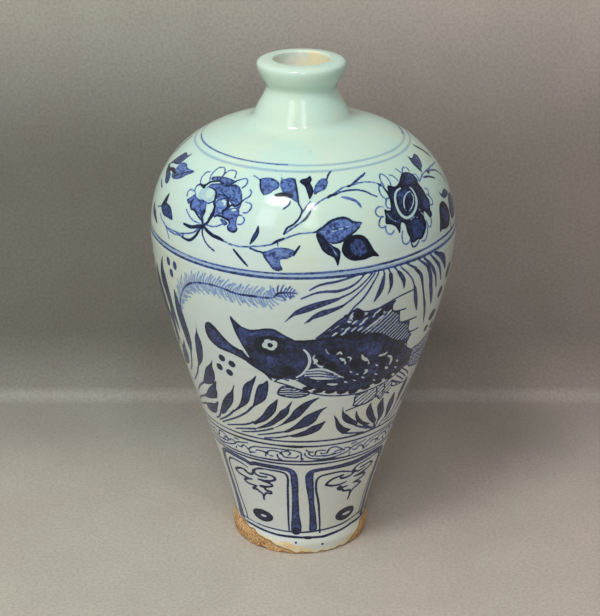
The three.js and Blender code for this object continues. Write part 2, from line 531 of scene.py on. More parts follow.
# %% Paint a motif
def paint(name, motif):
    """Draws a motif: its fills as (tone, points), whites as (width, points) and lines as
    (width, tone, points), each point an azimuth and a climb. The finest lines give no width."""
    for tone, points in motif.get("fills", ()):
        fill(points, tone)
    for width, points in motif.get("whites", ()):
        stroke(points, width, 0, layer="white")
    for *width, tone, points in motif.get("lines", ()):
        stroke(points, width[0] if width else LEAST_WIDTH, tone)
    print(name, "strokes:", sum(len(part) for part in motif.values()))

# %% [markdown]
# The rings
#
# The painter turns the pot on a wheel and holds the brush still, so each ring is nearly level.
# It drifts a little and thickens where the brush was loaded.

# %% Rings between the bands
def ring(turns, climbs, width, tone, wobble, phase):
    """A ring round the pot through a few (azimuth, climb) points, with a wandering hand."""
    level = np.interp(AZIMUTH, turns, climbs, period=360)
    angle = np.radians(AZIMUTH)
    level = level + wobble * np.sin(3 * angle + phase) + wobble / 2 * np.sin(7 * angle + 2 * phase)
    load = 1 + 0.14 * np.sin(2 * angle + phase) + 0.1 * np.sin(11 * angle + 3 * phase)
    gap = np.abs(CLIMB - level) - width * load / 2
    at = np.flatnonzero(gap < REACH)
    lay("line", at, gap[at], tone)


def ring_wash(low, high, tone):
    """A pale wash between two rings."""
    gap = np.abs(CLIMB - (low + high) / 2) - (high - low) / 2
    at = np.flatnonzero(gap < REACH)
    lay("fill", at, gap[at], tone)


PALE = 0.13
RINGS = (
    ([-90, -8, -2, 60, 180], [330.5, 330.4, 330.0, 329.2, 330.0], 1.5, PALE, 0.1, 1.0),
    ([-90, 0, 90, 180], [325.3, 324.6, 324.3, 324.9], 1.7, PALE, 0.12, 2.0),
    ([-75, -55, -30, -10, 5, 25, 40, 60, 180], [255, 254.3, 253.5, 253.4, 254, 255, 256, 257.3, 256],
     1.4, 0.42, 0.05, 0.3),
    ([-70, -40, -15, 20, 35, 60, 180], [251.8, 250.8, 250.1, 251.0, 251.8, 252.5, 252.2],
     1.6, 0.5, 0.05, 1.7),
    ([0, 180], [108.4, 108.1], 1.35, DARK, 0.15, 0.6),
    ([-20, 1, 8, 180], [103.8, 103.8, 103.5, 103.9], 1.45, DARK, 0.12, 2.6),
    ([0, 180], [88.8, 88.5], 1.35, DARK, 0.12, 1.3),
    ([0, 180], [85.7, 85.9], 1.4, DARK, 0.12, 2.2),
    ([-60, -25, 0, 20, 40, 55, 180], [20.5, 19.5, 18.3, 19, 20, 22, 20], 1.2, DARK, 0.05, 0.2),
    ([-45, -20, 0, 20, 30, 40, 50, 180], [17, 15, 14.3, 13.5, 14.5, 15.3, 16.5, 15.5],
     1.5, DARK, 0.05, 1.1),
)
for row in RINGS:
    ring(*row)
ring_wash(250.9, 253.8, PALE)
stroke([(-90, 330.5), (-50, 330.6), (-8, 330.3)], LEAST_WIDTH, THIN)
stroke([(3, 14.2), (6.5, 13.9), (10, 13.8)], 2.2, HEAPED, ALL_ROUND)
stroke([(-4.2, 23), (-3.4, 20), (-3.9, 17.8)], (1.4, 5.2, 3.0), DARK, ALL_ROUND)
stroke([(-13, 103.9), (-8, 103.7), (-3, 103.5), (0.6, 103.5)], (1.4, 2.0, 2.6, 2.2), HEAPED, ALL_ROUND)
for azimuth, climb in ((-3.5, 10.2), (19, 7.7)):
    dot(azimuth, climb, 0.9, 0.8, HEAPED, ALL_ROUND)
print("rings painted")

# %% [markdown]
# The peony scroll
#
# A big blossom, its stem and its leaves go round the widest part of the vase, and come again on
# the far side. The painter outlines the petals, floods them with thin cobalt, and then goes over
# the folds with a loaded brush. Petals left white are kept clear of the wash.

# %% The left blossom
LEFT_BLOSSOM = {"fills": [
    (THIN, [(-44, 309), (-44.5, 311), (-42, 312.5), (-39, 313.5), (-35.5, 313.5), (-33, 313), (-31.5, 312),
     (-32.5, 309.5), (-34, 308), (-36, 308.5), (-39, 310), (-42, 309)]),
    (THIN, [(-44, 303), (-43, 306), (-40.5, 307.5), (-37.5, 308.5), (-35, 307.5), (-33, 308.5), (-31, 310),
     (-28.5, 309), (-26.5, 305.5), (-25.5, 302), (-25, 298), (-25.5, 293.5), (-27, 295), (-29, 295.5),
     (-31, 298), (-32, 299.5), (-34, 300.5), (-36, 299.5), (-37, 296.5), (-38, 297.5), (-38.5, 301),
     (-40.5, 303), (-42.5, 303)]),
    (WASH, [(-50.5, 292.5), (-49, 294), (-47, 294), (-45, 293), (-43, 293.5), (-41, 292.5), (-40.5, 290),
     (-41, 287.5), (-41.5, 284.5), (-42.5, 283.5), (-44.5, 284.5), (-46.5, 285.5), (-48, 285.5),
     (-49, 288.5)]),
    (WASH, [(-51.5, 289), (-51.5, 291.5), (-50, 293.5), (-49, 296), (-47.5, 294.5), (-48.5, 292.5),
     (-49.5, 290), (-50, 288)]),
    (0.26, [(-36.5, 296.5), (-36, 299), (-34, 300.5), (-32, 299), (-31, 296), (-30, 293.5), (-32, 291),
     (-32, 288), (-34.5, 287), (-35.5, 285), (-36.5, 286.5), (-36.5, 290), (-37, 294)]),
    (WASH, [(-32, 290.5), (-30, 292.5), (-27.5, 294), (-25.5, 293), (-25, 290), (-25.5, 287),
     (-25.5, 283.5), (-25, 281), (-25, 278.5), (-27, 277.5), (-28.5, 278.5), (-29, 281), (-28.5, 283.5),
     (-29, 285), (-31, 286), (-32, 287.5)]),
    (WASH, [(-33, 285), (-30.5, 284.5), (-29, 282.5), (-30.5, 281), (-32, 283)]),
    (MID, [(-40.5, 278), (-41.5, 281.5), (-42.5, 284), (-42.5, 286.5), (-41.5, 287), (-41, 289.5),
     (-40, 286.5), (-40.5, 283), (-40, 280.5)]),
    (0.08, [(-46, 302), (-43.8, 303.5), (-39.5, 303), (-38.5, 299), (-39, 295), (-42, 293.5),
     (-45.5, 294.5), (-47, 297)]),
], "whites": [
    ((1.6, 2.8, 2.8, 1.0), [(-38, 292.8), (-39, 289.5), (-39.4, 286), (-39.9, 282.5), (-39.6, 280.5)]),
    ((1.6, 2.4, 1.4), [(-33.7, 296.8), (-32.6, 297), (-32.4, 294.6)]),
    (1.6, [(-28.5, 292), (-26.8, 292.8)]),
], "lines": [
    (THIN, [(-48.5, 303.5), (-50, 307), (-50, 310.5), (-49, 313.5), (-47.5, 314)]),
    (THIN, [(-44.5, 308), (-45.5, 311), (-45.5, 315), (-44.5, 318.5), (-43, 320), (-41, 320),
     (-39.5, 317.5), (-39, 314.5)]),
    (THIN, [(-39, 314.5), (-38.5, 317), (-37, 319.5), (-34.5, 320), (-33, 318.5), (-32.5, 314.5)]),
    (THIN, [(-32.5, 310.5), (-30.5, 313), (-28, 315), (-26.5, 315.5), (-25.5, 314), (-25.5, 311),
     (-27, 308)]),
    (THIN, [(-23, 308), (-22, 306), (-22.5, 303), (-24, 301), (-25, 299)]),
    (THIN, [(-23.5, 299), (-21.5, 298.5), (-20.5, 296.5), (-21, 294), (-22, 292), (-23.5, 291.5)]),
    (THIN, [(-25.5, 289.5), (-23.5, 289), (-22.5, 287), (-23, 284.5), (-24, 283.5), (-25, 283.5)]),
    (THIN, [(-48.5, 296), (-50, 298.5), (-50, 302), (-48.5, 303)]),
    (THIN, [(-53, 292.5), (-53.5, 295), (-53, 297), (-51.5, 298), (-50.5, 297.5)]),
    (THIN, [(-50.5, 284), (-48.5, 281.5), (-46.5, 279.5), (-44, 278.5), (-41.5, 278)]),
    (THIN, [(-38.5, 279), (-36, 278.5), (-33.5, 279.5), (-31.5, 281.5), (-30.5, 283)]),
    ((0.9, 1.6, 2.2, 1.7, 1.5, 1.3, 1.1), DARK, [(-50, 302), (-48.5, 303.3), (-47, 303), (-46, 303.5),
     (-45, 305), (-44, 307), (-42, 308.5), (-39.5, 309.5), (-37.5, 309)]),
    (1.2, DARK, [(-39.5, 309.5), (-39.5, 312), (-39, 314.5)]),
    (DARK, [(-37.5, 309), (-36, 308), (-34, 307.5), (-33, 308.5), (-32, 310.5), (-31, 312)]),
    ((1.0, 1.2, 1.6, 2.0, 1.8, 2.6, 2.2, 1.2), DARK, [(-43.5, 304), (-41, 303.5), (-39, 302.5),
     (-38, 300.5), (-37.5, 297), (-37.5, 294.5), (-36.5, 292), (-36.5, 289.5), (-36.5, 286.5), (-37.5, 283),
     (-38, 280.5), (-39.5, 278.5)]),
    ((1.0, 1.2, 1.5, 2.4, 1.8, 1.3), DARK, [(-36.5, 300.5), (-34.5, 301), (-33, 300.5), (-31.5, 298.5),
     (-31, 296), (-30.5, 293.5), (-31.5, 291.5), (-32.5, 290), (-32, 288)]),
    (1.5, DARK, [(-30, 293.5), (-29, 295.5), (-27.5, 295), (-26, 297), (-25, 299.5)]),
    (MID, [(-36.5, 295), (-35.5, 297), (-34, 298.5), (-33, 298.5), (-32, 297.5)]),
    (1.5, DARK, [(-35.5, 285), (-34.5, 286.5), (-32.5, 286.5), (-31, 286), (-29, 285), (-28.5, 283.5)]),
    (1.3, DARK, [(-29, 281), (-28.5, 279), (-27, 278), (-25.5, 278.5), (-25, 280.5)]),
    (1.5, DARK, [(-48.5, 292.5), (-49, 290.5), (-49, 288), (-48, 285.5)]),
    (1.4, DARK, [(-48, 285.5), (-46, 285.5), (-44.5, 284), (-42.5, 282), (-41, 280.5), (-40, 278.5)]),
    (MID, [(-44, 289), (-43, 287.5), (-42, 284.5), (-40.5, 281.5), (-40, 278.5)]),
    (MID, [(-47, 294), (-45.5, 293), (-43.5, 293.5), (-41.5, 293), (-40, 293), (-38.5, 294.5),
     (-37.5, 295.5)]),
    (2.2, HEAPED, [(-46.4, 302.6), (-45.4, 302.6)]),
    (2.6, DARK, [(-37.2, 286), (-36.4, 286.6)]),
    (1.5, DARK, [(-51.8, 290.5), (-51.2, 290.6)]),
    (1.4, DARK, [(-28.2, 300), (-27.6, 299.6)]),
    (1.2, MID, [(-31.5, 306.5), (-30, 304.5), (-28.8, 302)]),
    (MID, [(-36, 303.5), (-34, 301.5), (-33, 300.5)]),
]}
paint("left blossom", LEFT_BLOSSOM)
dot(-41.4, 299.6, 2.0, 3.4, 0, layer="white")

# %% The stems and leaves left of the middle
LEFT_LEAVES = {"fills": [
    (DARK, [(-69.5, 276), (-68.3, 281), (-67, 285.5), (-65.8, 288), (-65.2, 284), (-65.5, 280),
     (-66.5, 277.5)]),
    (MID, [(-68.5, 275.5), (-66.8, 279), (-64.5, 280.8), (-62, 280.7), (-60, 279), (-58.6, 276.5),
     (-57.6, 272.8), (-61.5, 272.5), (-64.5, 272), (-67, 273.2)]),
    (MID, [(-78.5, 314.8), (-76, 316.3), (-73, 316), (-70.7, 319), (-71.5, 313), (-72.5, 309), (-75, 306.5),
     (-80, 304.5), (-84, 301)]),
    (WASH, [(-72.5, 308.5), (-69.5, 311), (-66.5, 311.2), (-63.5, 309.5), (-57, 309.7), (-60.8, 304.5),
     (-63, 301), (-66.5, 298.3), (-70.5, 297.2), (-73.5, 299.5), (-73, 303.5)]),
    (MID, [(-84, 298), (-79, 294), (-75, 291), (-71.8, 292), (-72.5, 296), (-75.5, 298.5)]),
    (MID, [(-79.5, 273), (-77, 271), (-74, 269), (-71.5, 265.5), (-70, 262.5), (-74, 264), (-78, 266),
     (-80, 270)]),
], "lines": [
    (2.4, DARK, [(-40.5, 277.3), (-43, 275.5), (-46, 274), (-50, 274.3)]),
    (2.0, DARK, [(-40.5, 277), (-41.5, 273), (-42.8, 269), (-44.5, 266), (-46.5, 264.6), (-50, 265)]),
    (THIN, [(-49, 266), (-53, 265), (-57, 264.6), (-61.5, 266)]),
    (THIN, [(-41.5, 275), (-44, 271), (-47, 269), (-51, 267), (-55, 266.3), (-60, 266), (-63.5, 267.5),
     (-66.5, 269), (-68.5, 271.3)]),
    (THIN, [(-61.5, 266), (-60, 263.5), (-58, 259.5)]),
    ((1.4, 0.6), DARK, [(-40, 277), (-39.5, 272), (-38, 268), (-36, 265), (-33.5, 262.8)]),
    (2.4, DARK, [(-39.6, 277.5), (-37.5, 275), (-35, 273), (-32, 272), (-30, 271)]),
    (THIN, [(-30, 271), (-27, 269.5), (-23, 269), (-19, 270), (-14, 271.5), (-11, 273), (-9.8, 274.5)]),
    (1.2, DARK, [(-68.5, 275.5), (-66.8, 279), (-64.5, 280.8)]),
    (THIN, [(-73.2, 273.7), (-70.5, 275.3), (-69, 276.5)]),
    (3.0, HEAPED, [(-85, 299.5), (-80, 299), (-75, 301.5), (-70, 301)]),
    (1.5, DARK, [(-82, 289.3), (-78, 287.2), (-75.5, 286.5)]),
    (1.6, DARK, [(-25.5, 266.5), (-23, 262), (-20, 256.7)]),
    (DARK, [(-72.5, 309), (-75, 306.5), (-80, 304.5), (-84, 301)]),
    (DARK, [(-70.5, 298.5), (-67, 301.5), (-63.5, 305.5), (-58.5, 308.8)]),
]}
paint("left leaves", LEFT_LEAVES)

# %% The leaves in the middle, above
MIDDLE_LEAVES = {"fills": [
    (WASH, [(-20, 316.5), (-17.5, 318.3), (-14.5, 318.5), (-12, 317), (-10.3, 314.5), (-10.5, 311),
     (-12.5, 309), (-14, 306.5), (-16.5, 305.5), (-18, 308.5), (-19, 312)]),
    (WASH, [(-10.2, 322.3), (-9.4, 318.5), (-7.5, 318.8), (-6, 319.5), (-4, 319.2), (-3.3, 316),
     (-2.4, 311), (-2, 305), (-1.7, 301), (-4.3, 303.5), (-6.7, 306.5), (-8.5, 309), (-9.5, 312.5),
     (-9.7, 316)]),
    (DARK, [(-12, 306.2), (-9, 308), (-6, 308.4), (-3.8, 306.2), (-4.6, 304.2), (-7.5, 305.4),
     (-10.5, 304.8)]),
    (DARK, [(-1.2, 316.5), (0, 318.6), (2, 319.3), (3.8, 321), (4.5, 318), (3.7, 315.5), (4.6, 311.5),
     (4.6, 308), (3, 303.5), (2.3, 307), (1.6, 311), (0.8, 313.5)]),
    (WASH, [(5.3, 311.5), (6.5, 315), (8.5, 318), (10.5, 318.7), (11.7, 318.2), (11.7, 315), (10.8, 312),
     (9.5, 309.8), (7, 308.3), (5, 306.7)]),
], "lines": [
    (THIN, [(-23.5, 318.8), (-20, 316.5)]),
    (1.2, DARK, [(-3.5, 318.5), (-2.6, 312), (-2, 306), (-1.6, 300.5)]),
    (DARK, [(-19.6, 316.2), (-18.9, 312), (-17.8, 308.2), (-16.4, 305.7)]),
    (THIN, [(-9.6, 318.6), (-9.6, 313), (-8.4, 309)]),
    (1.2, DARK, [(-5, 302), (-5.5, 299.5), (-7.5, 296.7)]),
    (1.2, DARK, [(-1.6, 300.5), (-0.3, 296), (-1.2, 291), (-3.5, 286.5), (-5.5, 284.5), (-6.5, 282),
     (-7, 279.8)]),
    (THIN, [(3.2, 302), (1.5, 298.5), (-0.3, 294)]),
    (THIN, [(1.2, 291), (-0.6, 288), (-3, 285), (-6.8, 280)]),
    (1.5, DARK, [(0.2, 288.7), (1.5, 291), (3.1, 295.2)]),
    (1.2, MID, [(11.7, 318.2), (12.6, 321), (14.3, 323.8)]),
    (THIN, [(3, 296), (6, 300.5), (9, 303.5), (12, 305.3), (15, 308), (18, 310.5), (21, 311), (25, 312),
     (29, 312.2), (33, 310.8), (35.5, 308.5), (37, 305.5)]),
    (1.8, DARK, [(10.5, 304), (12, 305.5), (14.3, 306)]),
    (1.3, MID, [(14.5, 306.3), (17, 307.5), (21, 308), (24.5, 307.3), (27.5, 305.5), (30, 302.5),
     (32, 300.5)]),
    (2.0, WASH, [(16.5, 303.8), (19, 302.5), (21.5, 300.5), (23, 298), (23.7, 295.3)]),
    (1.6, MID, [(22.5, 312), (25, 314), (27.5, 316), (29.5, 317.3), (31.5, 319)]),
    (1.5, DARK, [(-11, 273), (-9.5, 275), (-7, 277)]),
    (THIN, [(-10, 274), (-7, 276.5), (-4, 279), (-1, 280.5), (2, 281), (4.2, 281.2)]),
    (THIN, [(-9.3, 275), (-9, 272)]),
    (1.6, DARK, [(20.2, 310.8), (21.8, 311.3)]),
    (1.6, DARK, [(35.2, 308.9), (36, 307.6)]),
]}
paint("middle leaves above", MIDDLE_LEAVES)

# %% The leaves in the middle, below
MIDDLE_LOW = {"fills": [
    (WASH, [(-14.5, 267), (-12.5, 268.5), (-9.5, 270.8), (-7, 271), (-4.5, 270.3), (-2.8, 268.8),
     (-3.5, 266), (-5.5, 263.8), (-8, 263), (-8, 260), (-7.2, 256), (-8.5, 255.5), (-10.5, 256.5),
     (-12, 260), (-13.5, 263.5)]),
    (MID, [(-19.5, 271), (-18.8, 276), (-17.5, 281), (-16.7, 284.5), (-16.2, 280), (-17, 276),
     (-18.3, 273)]),
    (WASH, [(4.3, 281.2), (6, 282.5), (8, 285), (10.5, 288), (13, 289.3), (15.5, 289.8), (17.5, 288.5),
     (19, 286.5), (22.5, 285), (21.5, 282.7), (19.5, 280), (17.5, 278), (15.5, 276), (13.5, 274),
     (10.5, 273.5), (8.5, 276), (7, 279)]),
    (DARK, [(5, 280.5), (7, 279), (8.5, 275.5), (10.5, 272), (13, 269), (13.2, 265), (12.2, 258.3),
     (11, 263.5), (8.5, 266.5), (6.8, 269.5), (5.8, 273.5), (5, 277.5)]),
    (HEAPED, [(14, 270.5), (15, 274.5), (17, 277), (19.5, 277.7), (22, 276.8), (23.8, 274), (25, 270),
     (26, 266), (28, 261), (25.5, 261.8), (22, 260.5), (18, 260.7), (15.5, 263), (14, 267)]),
    (MID, [(17.5, 272.5), (19.5, 275), (21.5, 273.5), (23, 269.5), (23, 265.5), (20.5, 263.3),
     (17.8, 265.5), (17, 269)]),
], "whites": [
    (0.7, [(8.5, 275), (10.5, 270), (12.3, 264)]),
    (0.6, [(6.5, 281.5), (10, 281), (14, 282.5), (18, 284)]),
], "lines": [
    (1.6, DARK, [(-3.5, 266), (-2.8, 268), (-1.2, 272.3)]),
    (1.2, DARK, [(-19.3, 269), (-17, 267.7), (-14.5, 267)]),
    (DARK, [(-14.5, 267), (-13.5, 263.5), (-12, 260), (-10.5, 256.5), (-8.5, 255.5)]),
    (THIN, [(-12.5, 267.2), (-9.5, 265.5), (-8.6, 261.5), (-8.8, 258)]),
    (1.6, DARK, [(4.3, 281.2), (8, 285), (10.5, 288), (13, 289.3), (15.5, 289.8), (17.5, 288.5),
     (19, 286.5), (22.5, 285)]),
    (1.4, DARK, [(21.5, 282.7), (19.5, 280), (17.5, 278), (15.5, 276), (13.5, 274), (10.5, 273.5)]),
]}
paint("middle leaves below", MIDDLE_LOW)

# %% The right blossom
RIGHT_BLOSSOM = {"fills": [
    (DARK, [(37, 291), (38, 300), (39.5, 306), (43, 304), (46, 305.5), (48.5, 308.5), (51.5, 311),
     (54.5, 310.5), (57, 308), (58.3, 303.5), (57.3, 300), (58, 296), (58.3, 290), (59, 286), (57.5, 281),
     (57.8, 277), (56, 275.5), (54.5, 279), (53, 281.5), (52.3, 277), (52.5, 272), (51, 268), (48.5, 264.5),
     (46.5, 265), (43.5, 264), (42.5, 268), (41.5, 272), (41.3, 277.5), (39.5, 279.5), (38, 273),
     (36.8, 277.5), (35, 280), (32.5, 281.5), (33, 286), (33.5, 291), (35, 289.5)]),
    (MID, [(44.5, 272), (46, 277.5), (48.5, 278), (50.4, 273), (49.5, 267.5), (46.8, 266), (45, 268)]),
    (MID, [(54.5, 290), (56, 291.5), (57.5, 287), (57.2, 283), (55.5, 281.8), (54.2, 285.5)]),
    (MID, [(51.5, 306.2), (53.5, 309), (56, 308.3), (57, 305), (55, 303), (52.4, 303.4)]),
    (MID, [(41.5, 290), (42.5, 298), (45.5, 300), (48, 299.2), (46.5, 297), (44, 294.5)]),
], "whites": [
    (2.0, [(45.5, 301.8), (42.5, 300.5), (40.5, 297), (39.6, 292), (39.9, 287), (41, 283.5), (43, 281.5),
     (45.5, 282), (48.3, 284.5), (50.5, 288.5), (51.6, 293), (51.6, 297.5), (50.8, 300)]),
    (1.1, [(49.9, 297.8), (47.5, 297), (45.3, 295), (43.8, 292), (43.2, 288.5), (43.5, 286.5)]),
    (1.0, [(49.7, 297), (50.2, 293.5), (49, 290), (47, 287), (45, 285.3)]),
    (0.8, [(34, 288), (35.5, 283.5), (38, 280.5)]),
    (1.0, [(50.7, 285), (51.3, 281.5), (52.7, 278)]),
    (0.8, [(44.5, 279.5), (46.8, 280.2), (49, 279)]),
], "lines": [
    (THIN, [(33.3, 292.8), (31, 293.3), (29.5, 291.5), (29.3, 289), (30.3, 287), (32.2, 286.3)]),
    (THIN, [(31, 286), (29.8, 283.5), (29.5, 281), (30.5, 279.4), (32.3, 279.5)]),
    (THIN, [(32.3, 280), (32, 277), (32.8, 274.5), (34.3, 274), (35.5, 275.5)]),
    (THIN, [(39.3, 274), (38.7, 270), (38.8, 266.5), (40.2, 264.6), (42, 265.8), (42.8, 268)]),
    (1.4, MID, [(42.5, 268), (42.8, 264), (43.5, 261.3), (45, 261.3), (46.5, 263.3), (47.2, 265)]),
    (THIN, [(48.5, 263), (50, 262.3), (51.5, 264.5), (52.7, 268), (52.8, 270)]),
    (THIN, [(52.8, 275), (53.5, 271), (54.6, 269.5), (55.8, 271.5), (56.3, 276), (55.5, 280)]),
    (THIN, [(58.5, 283), (60.5, 283), (61, 286), (60, 289), (58.8, 291)]),
    (THIN, [(59.5, 295), (60.7, 294), (61, 291.5), (60, 289.7)]),
    (THIN, [(57, 307.3), (59, 306.5), (59.5, 304), (58.7, 301.5)]),
    (THIN, [(51.5, 310.5), (53.5, 313.5), (55.5, 314.3), (57, 312.5), (56.8, 310)]),
    (THIN, [(49.7, 315.5), (50.5, 314), (51.3, 311)]),
    (THIN, [(37.5, 306), (37.3, 311), (38.3, 314.5), (39.8, 315.3), (41.2, 312.5), (41.7, 308.5),
     (41.2, 305.5)]),
    (THIN, [(43.3, 313), (45, 312), (46, 309), (46.3, 307)]),
    (THIN, [(37.2, 297.5), (35.6, 297.8), (34.3, 300.5), (34.2, 304), (35, 307), (36.6, 308.2)]),
    (THIN, [(36.8, 290.5), (35.2, 291.5), (34.8, 294), (35.8, 296.8)]),
    (1.8, HEAPED, [(37, 305), (38, 300), (37.8, 295), (37, 290.5)]),
    (1.2, HEAPED, [(46.5, 305), (49, 302), (52, 301.5), (55, 300)]),
    (1.2, HEAPED, [(53, 298), (53.5, 292), (52.8, 286), (51, 282)]),
]}
paint("right blossom", RIGHT_BLOSSOM)

# %% The bud and leaves right of the blossom
RIGHT_LEAVES = {"fills": [
    (MID, [(65, 305), (64, 309), (63.3, 313), (64.3, 317), (65.3, 319.7), (66.5, 317), (69, 317),
     (71.5, 318), (73.7, 316), (72, 312), (69.5, 308.7), (66.5, 307)]),
    (MID, [(69, 287.5), (71, 284.3), (74.5, 285.3), (77.5, 284), (79.5, 280), (76, 279.5), (72, 280.5),
     (70, 283)]),
    (DARK, [(61, 262.5), (62.5, 270), (64, 276.5), (66, 279.8), (69, 279.8), (71.5, 277), (73.5, 270),
     (72.5, 265), (70, 261.5), (66.5, 261.5), (63, 263)]),
    (MID, [(66, 268), (67.5, 274.5), (70, 274.5), (71, 268.5), (68.5, 265)]),
    (MID, [(75, 264), (74.5, 270), (76.5, 276), (80, 279), (84.5, 276.5), (86.5, 270), (84, 264.5),
     (79.5, 262)]),
], "whites": [
    (0.7, [(80, 264), (80.5, 270), (80, 276)]),
], "lines": [
    (1.6, DARK, [(65, 305.5), (64.3, 309), (64.2, 313), (65.3, 318)]),
    (THIN, [(58.5, 300.7), (61, 302), (63.5, 303.3), (66, 303.8), (70, 304), (75, 303.5), (80, 302.5),
     (86, 301)]),
    (1.3, MID, [(70, 303), (74, 301.5), (78, 299), (81, 295), (83, 291), (84, 286)]),
    (1.5, DARK, [(63.5, 301.3), (67, 300.3), (70, 298), (72.5, 295.7)]),
    (2.4, HEAPED, [(69.4, 302.2), (70.6, 302)]),
    (1.6, DARK, [(72.5, 262), (73, 257.5)]),
    (3.0, DARK, [(82, 321), (84.5, 315), (86, 310), (87, 306)]),
    (1.2, DARK, [(75, 264), (74.5, 270), (76.5, 276), (80, 279)]),
]}
paint("right leaves", RIGHT_LEAVES)
print("peony scroll painted")

# %% [markdown]
# The fish
#
# Two big fish swim round the body among water weeds. The fish is a dark mass of cobalt, laid on
# until it turns almost black. The eye, the gill and the fins are left white or hatched, and the
# belly is a white band under the scales.

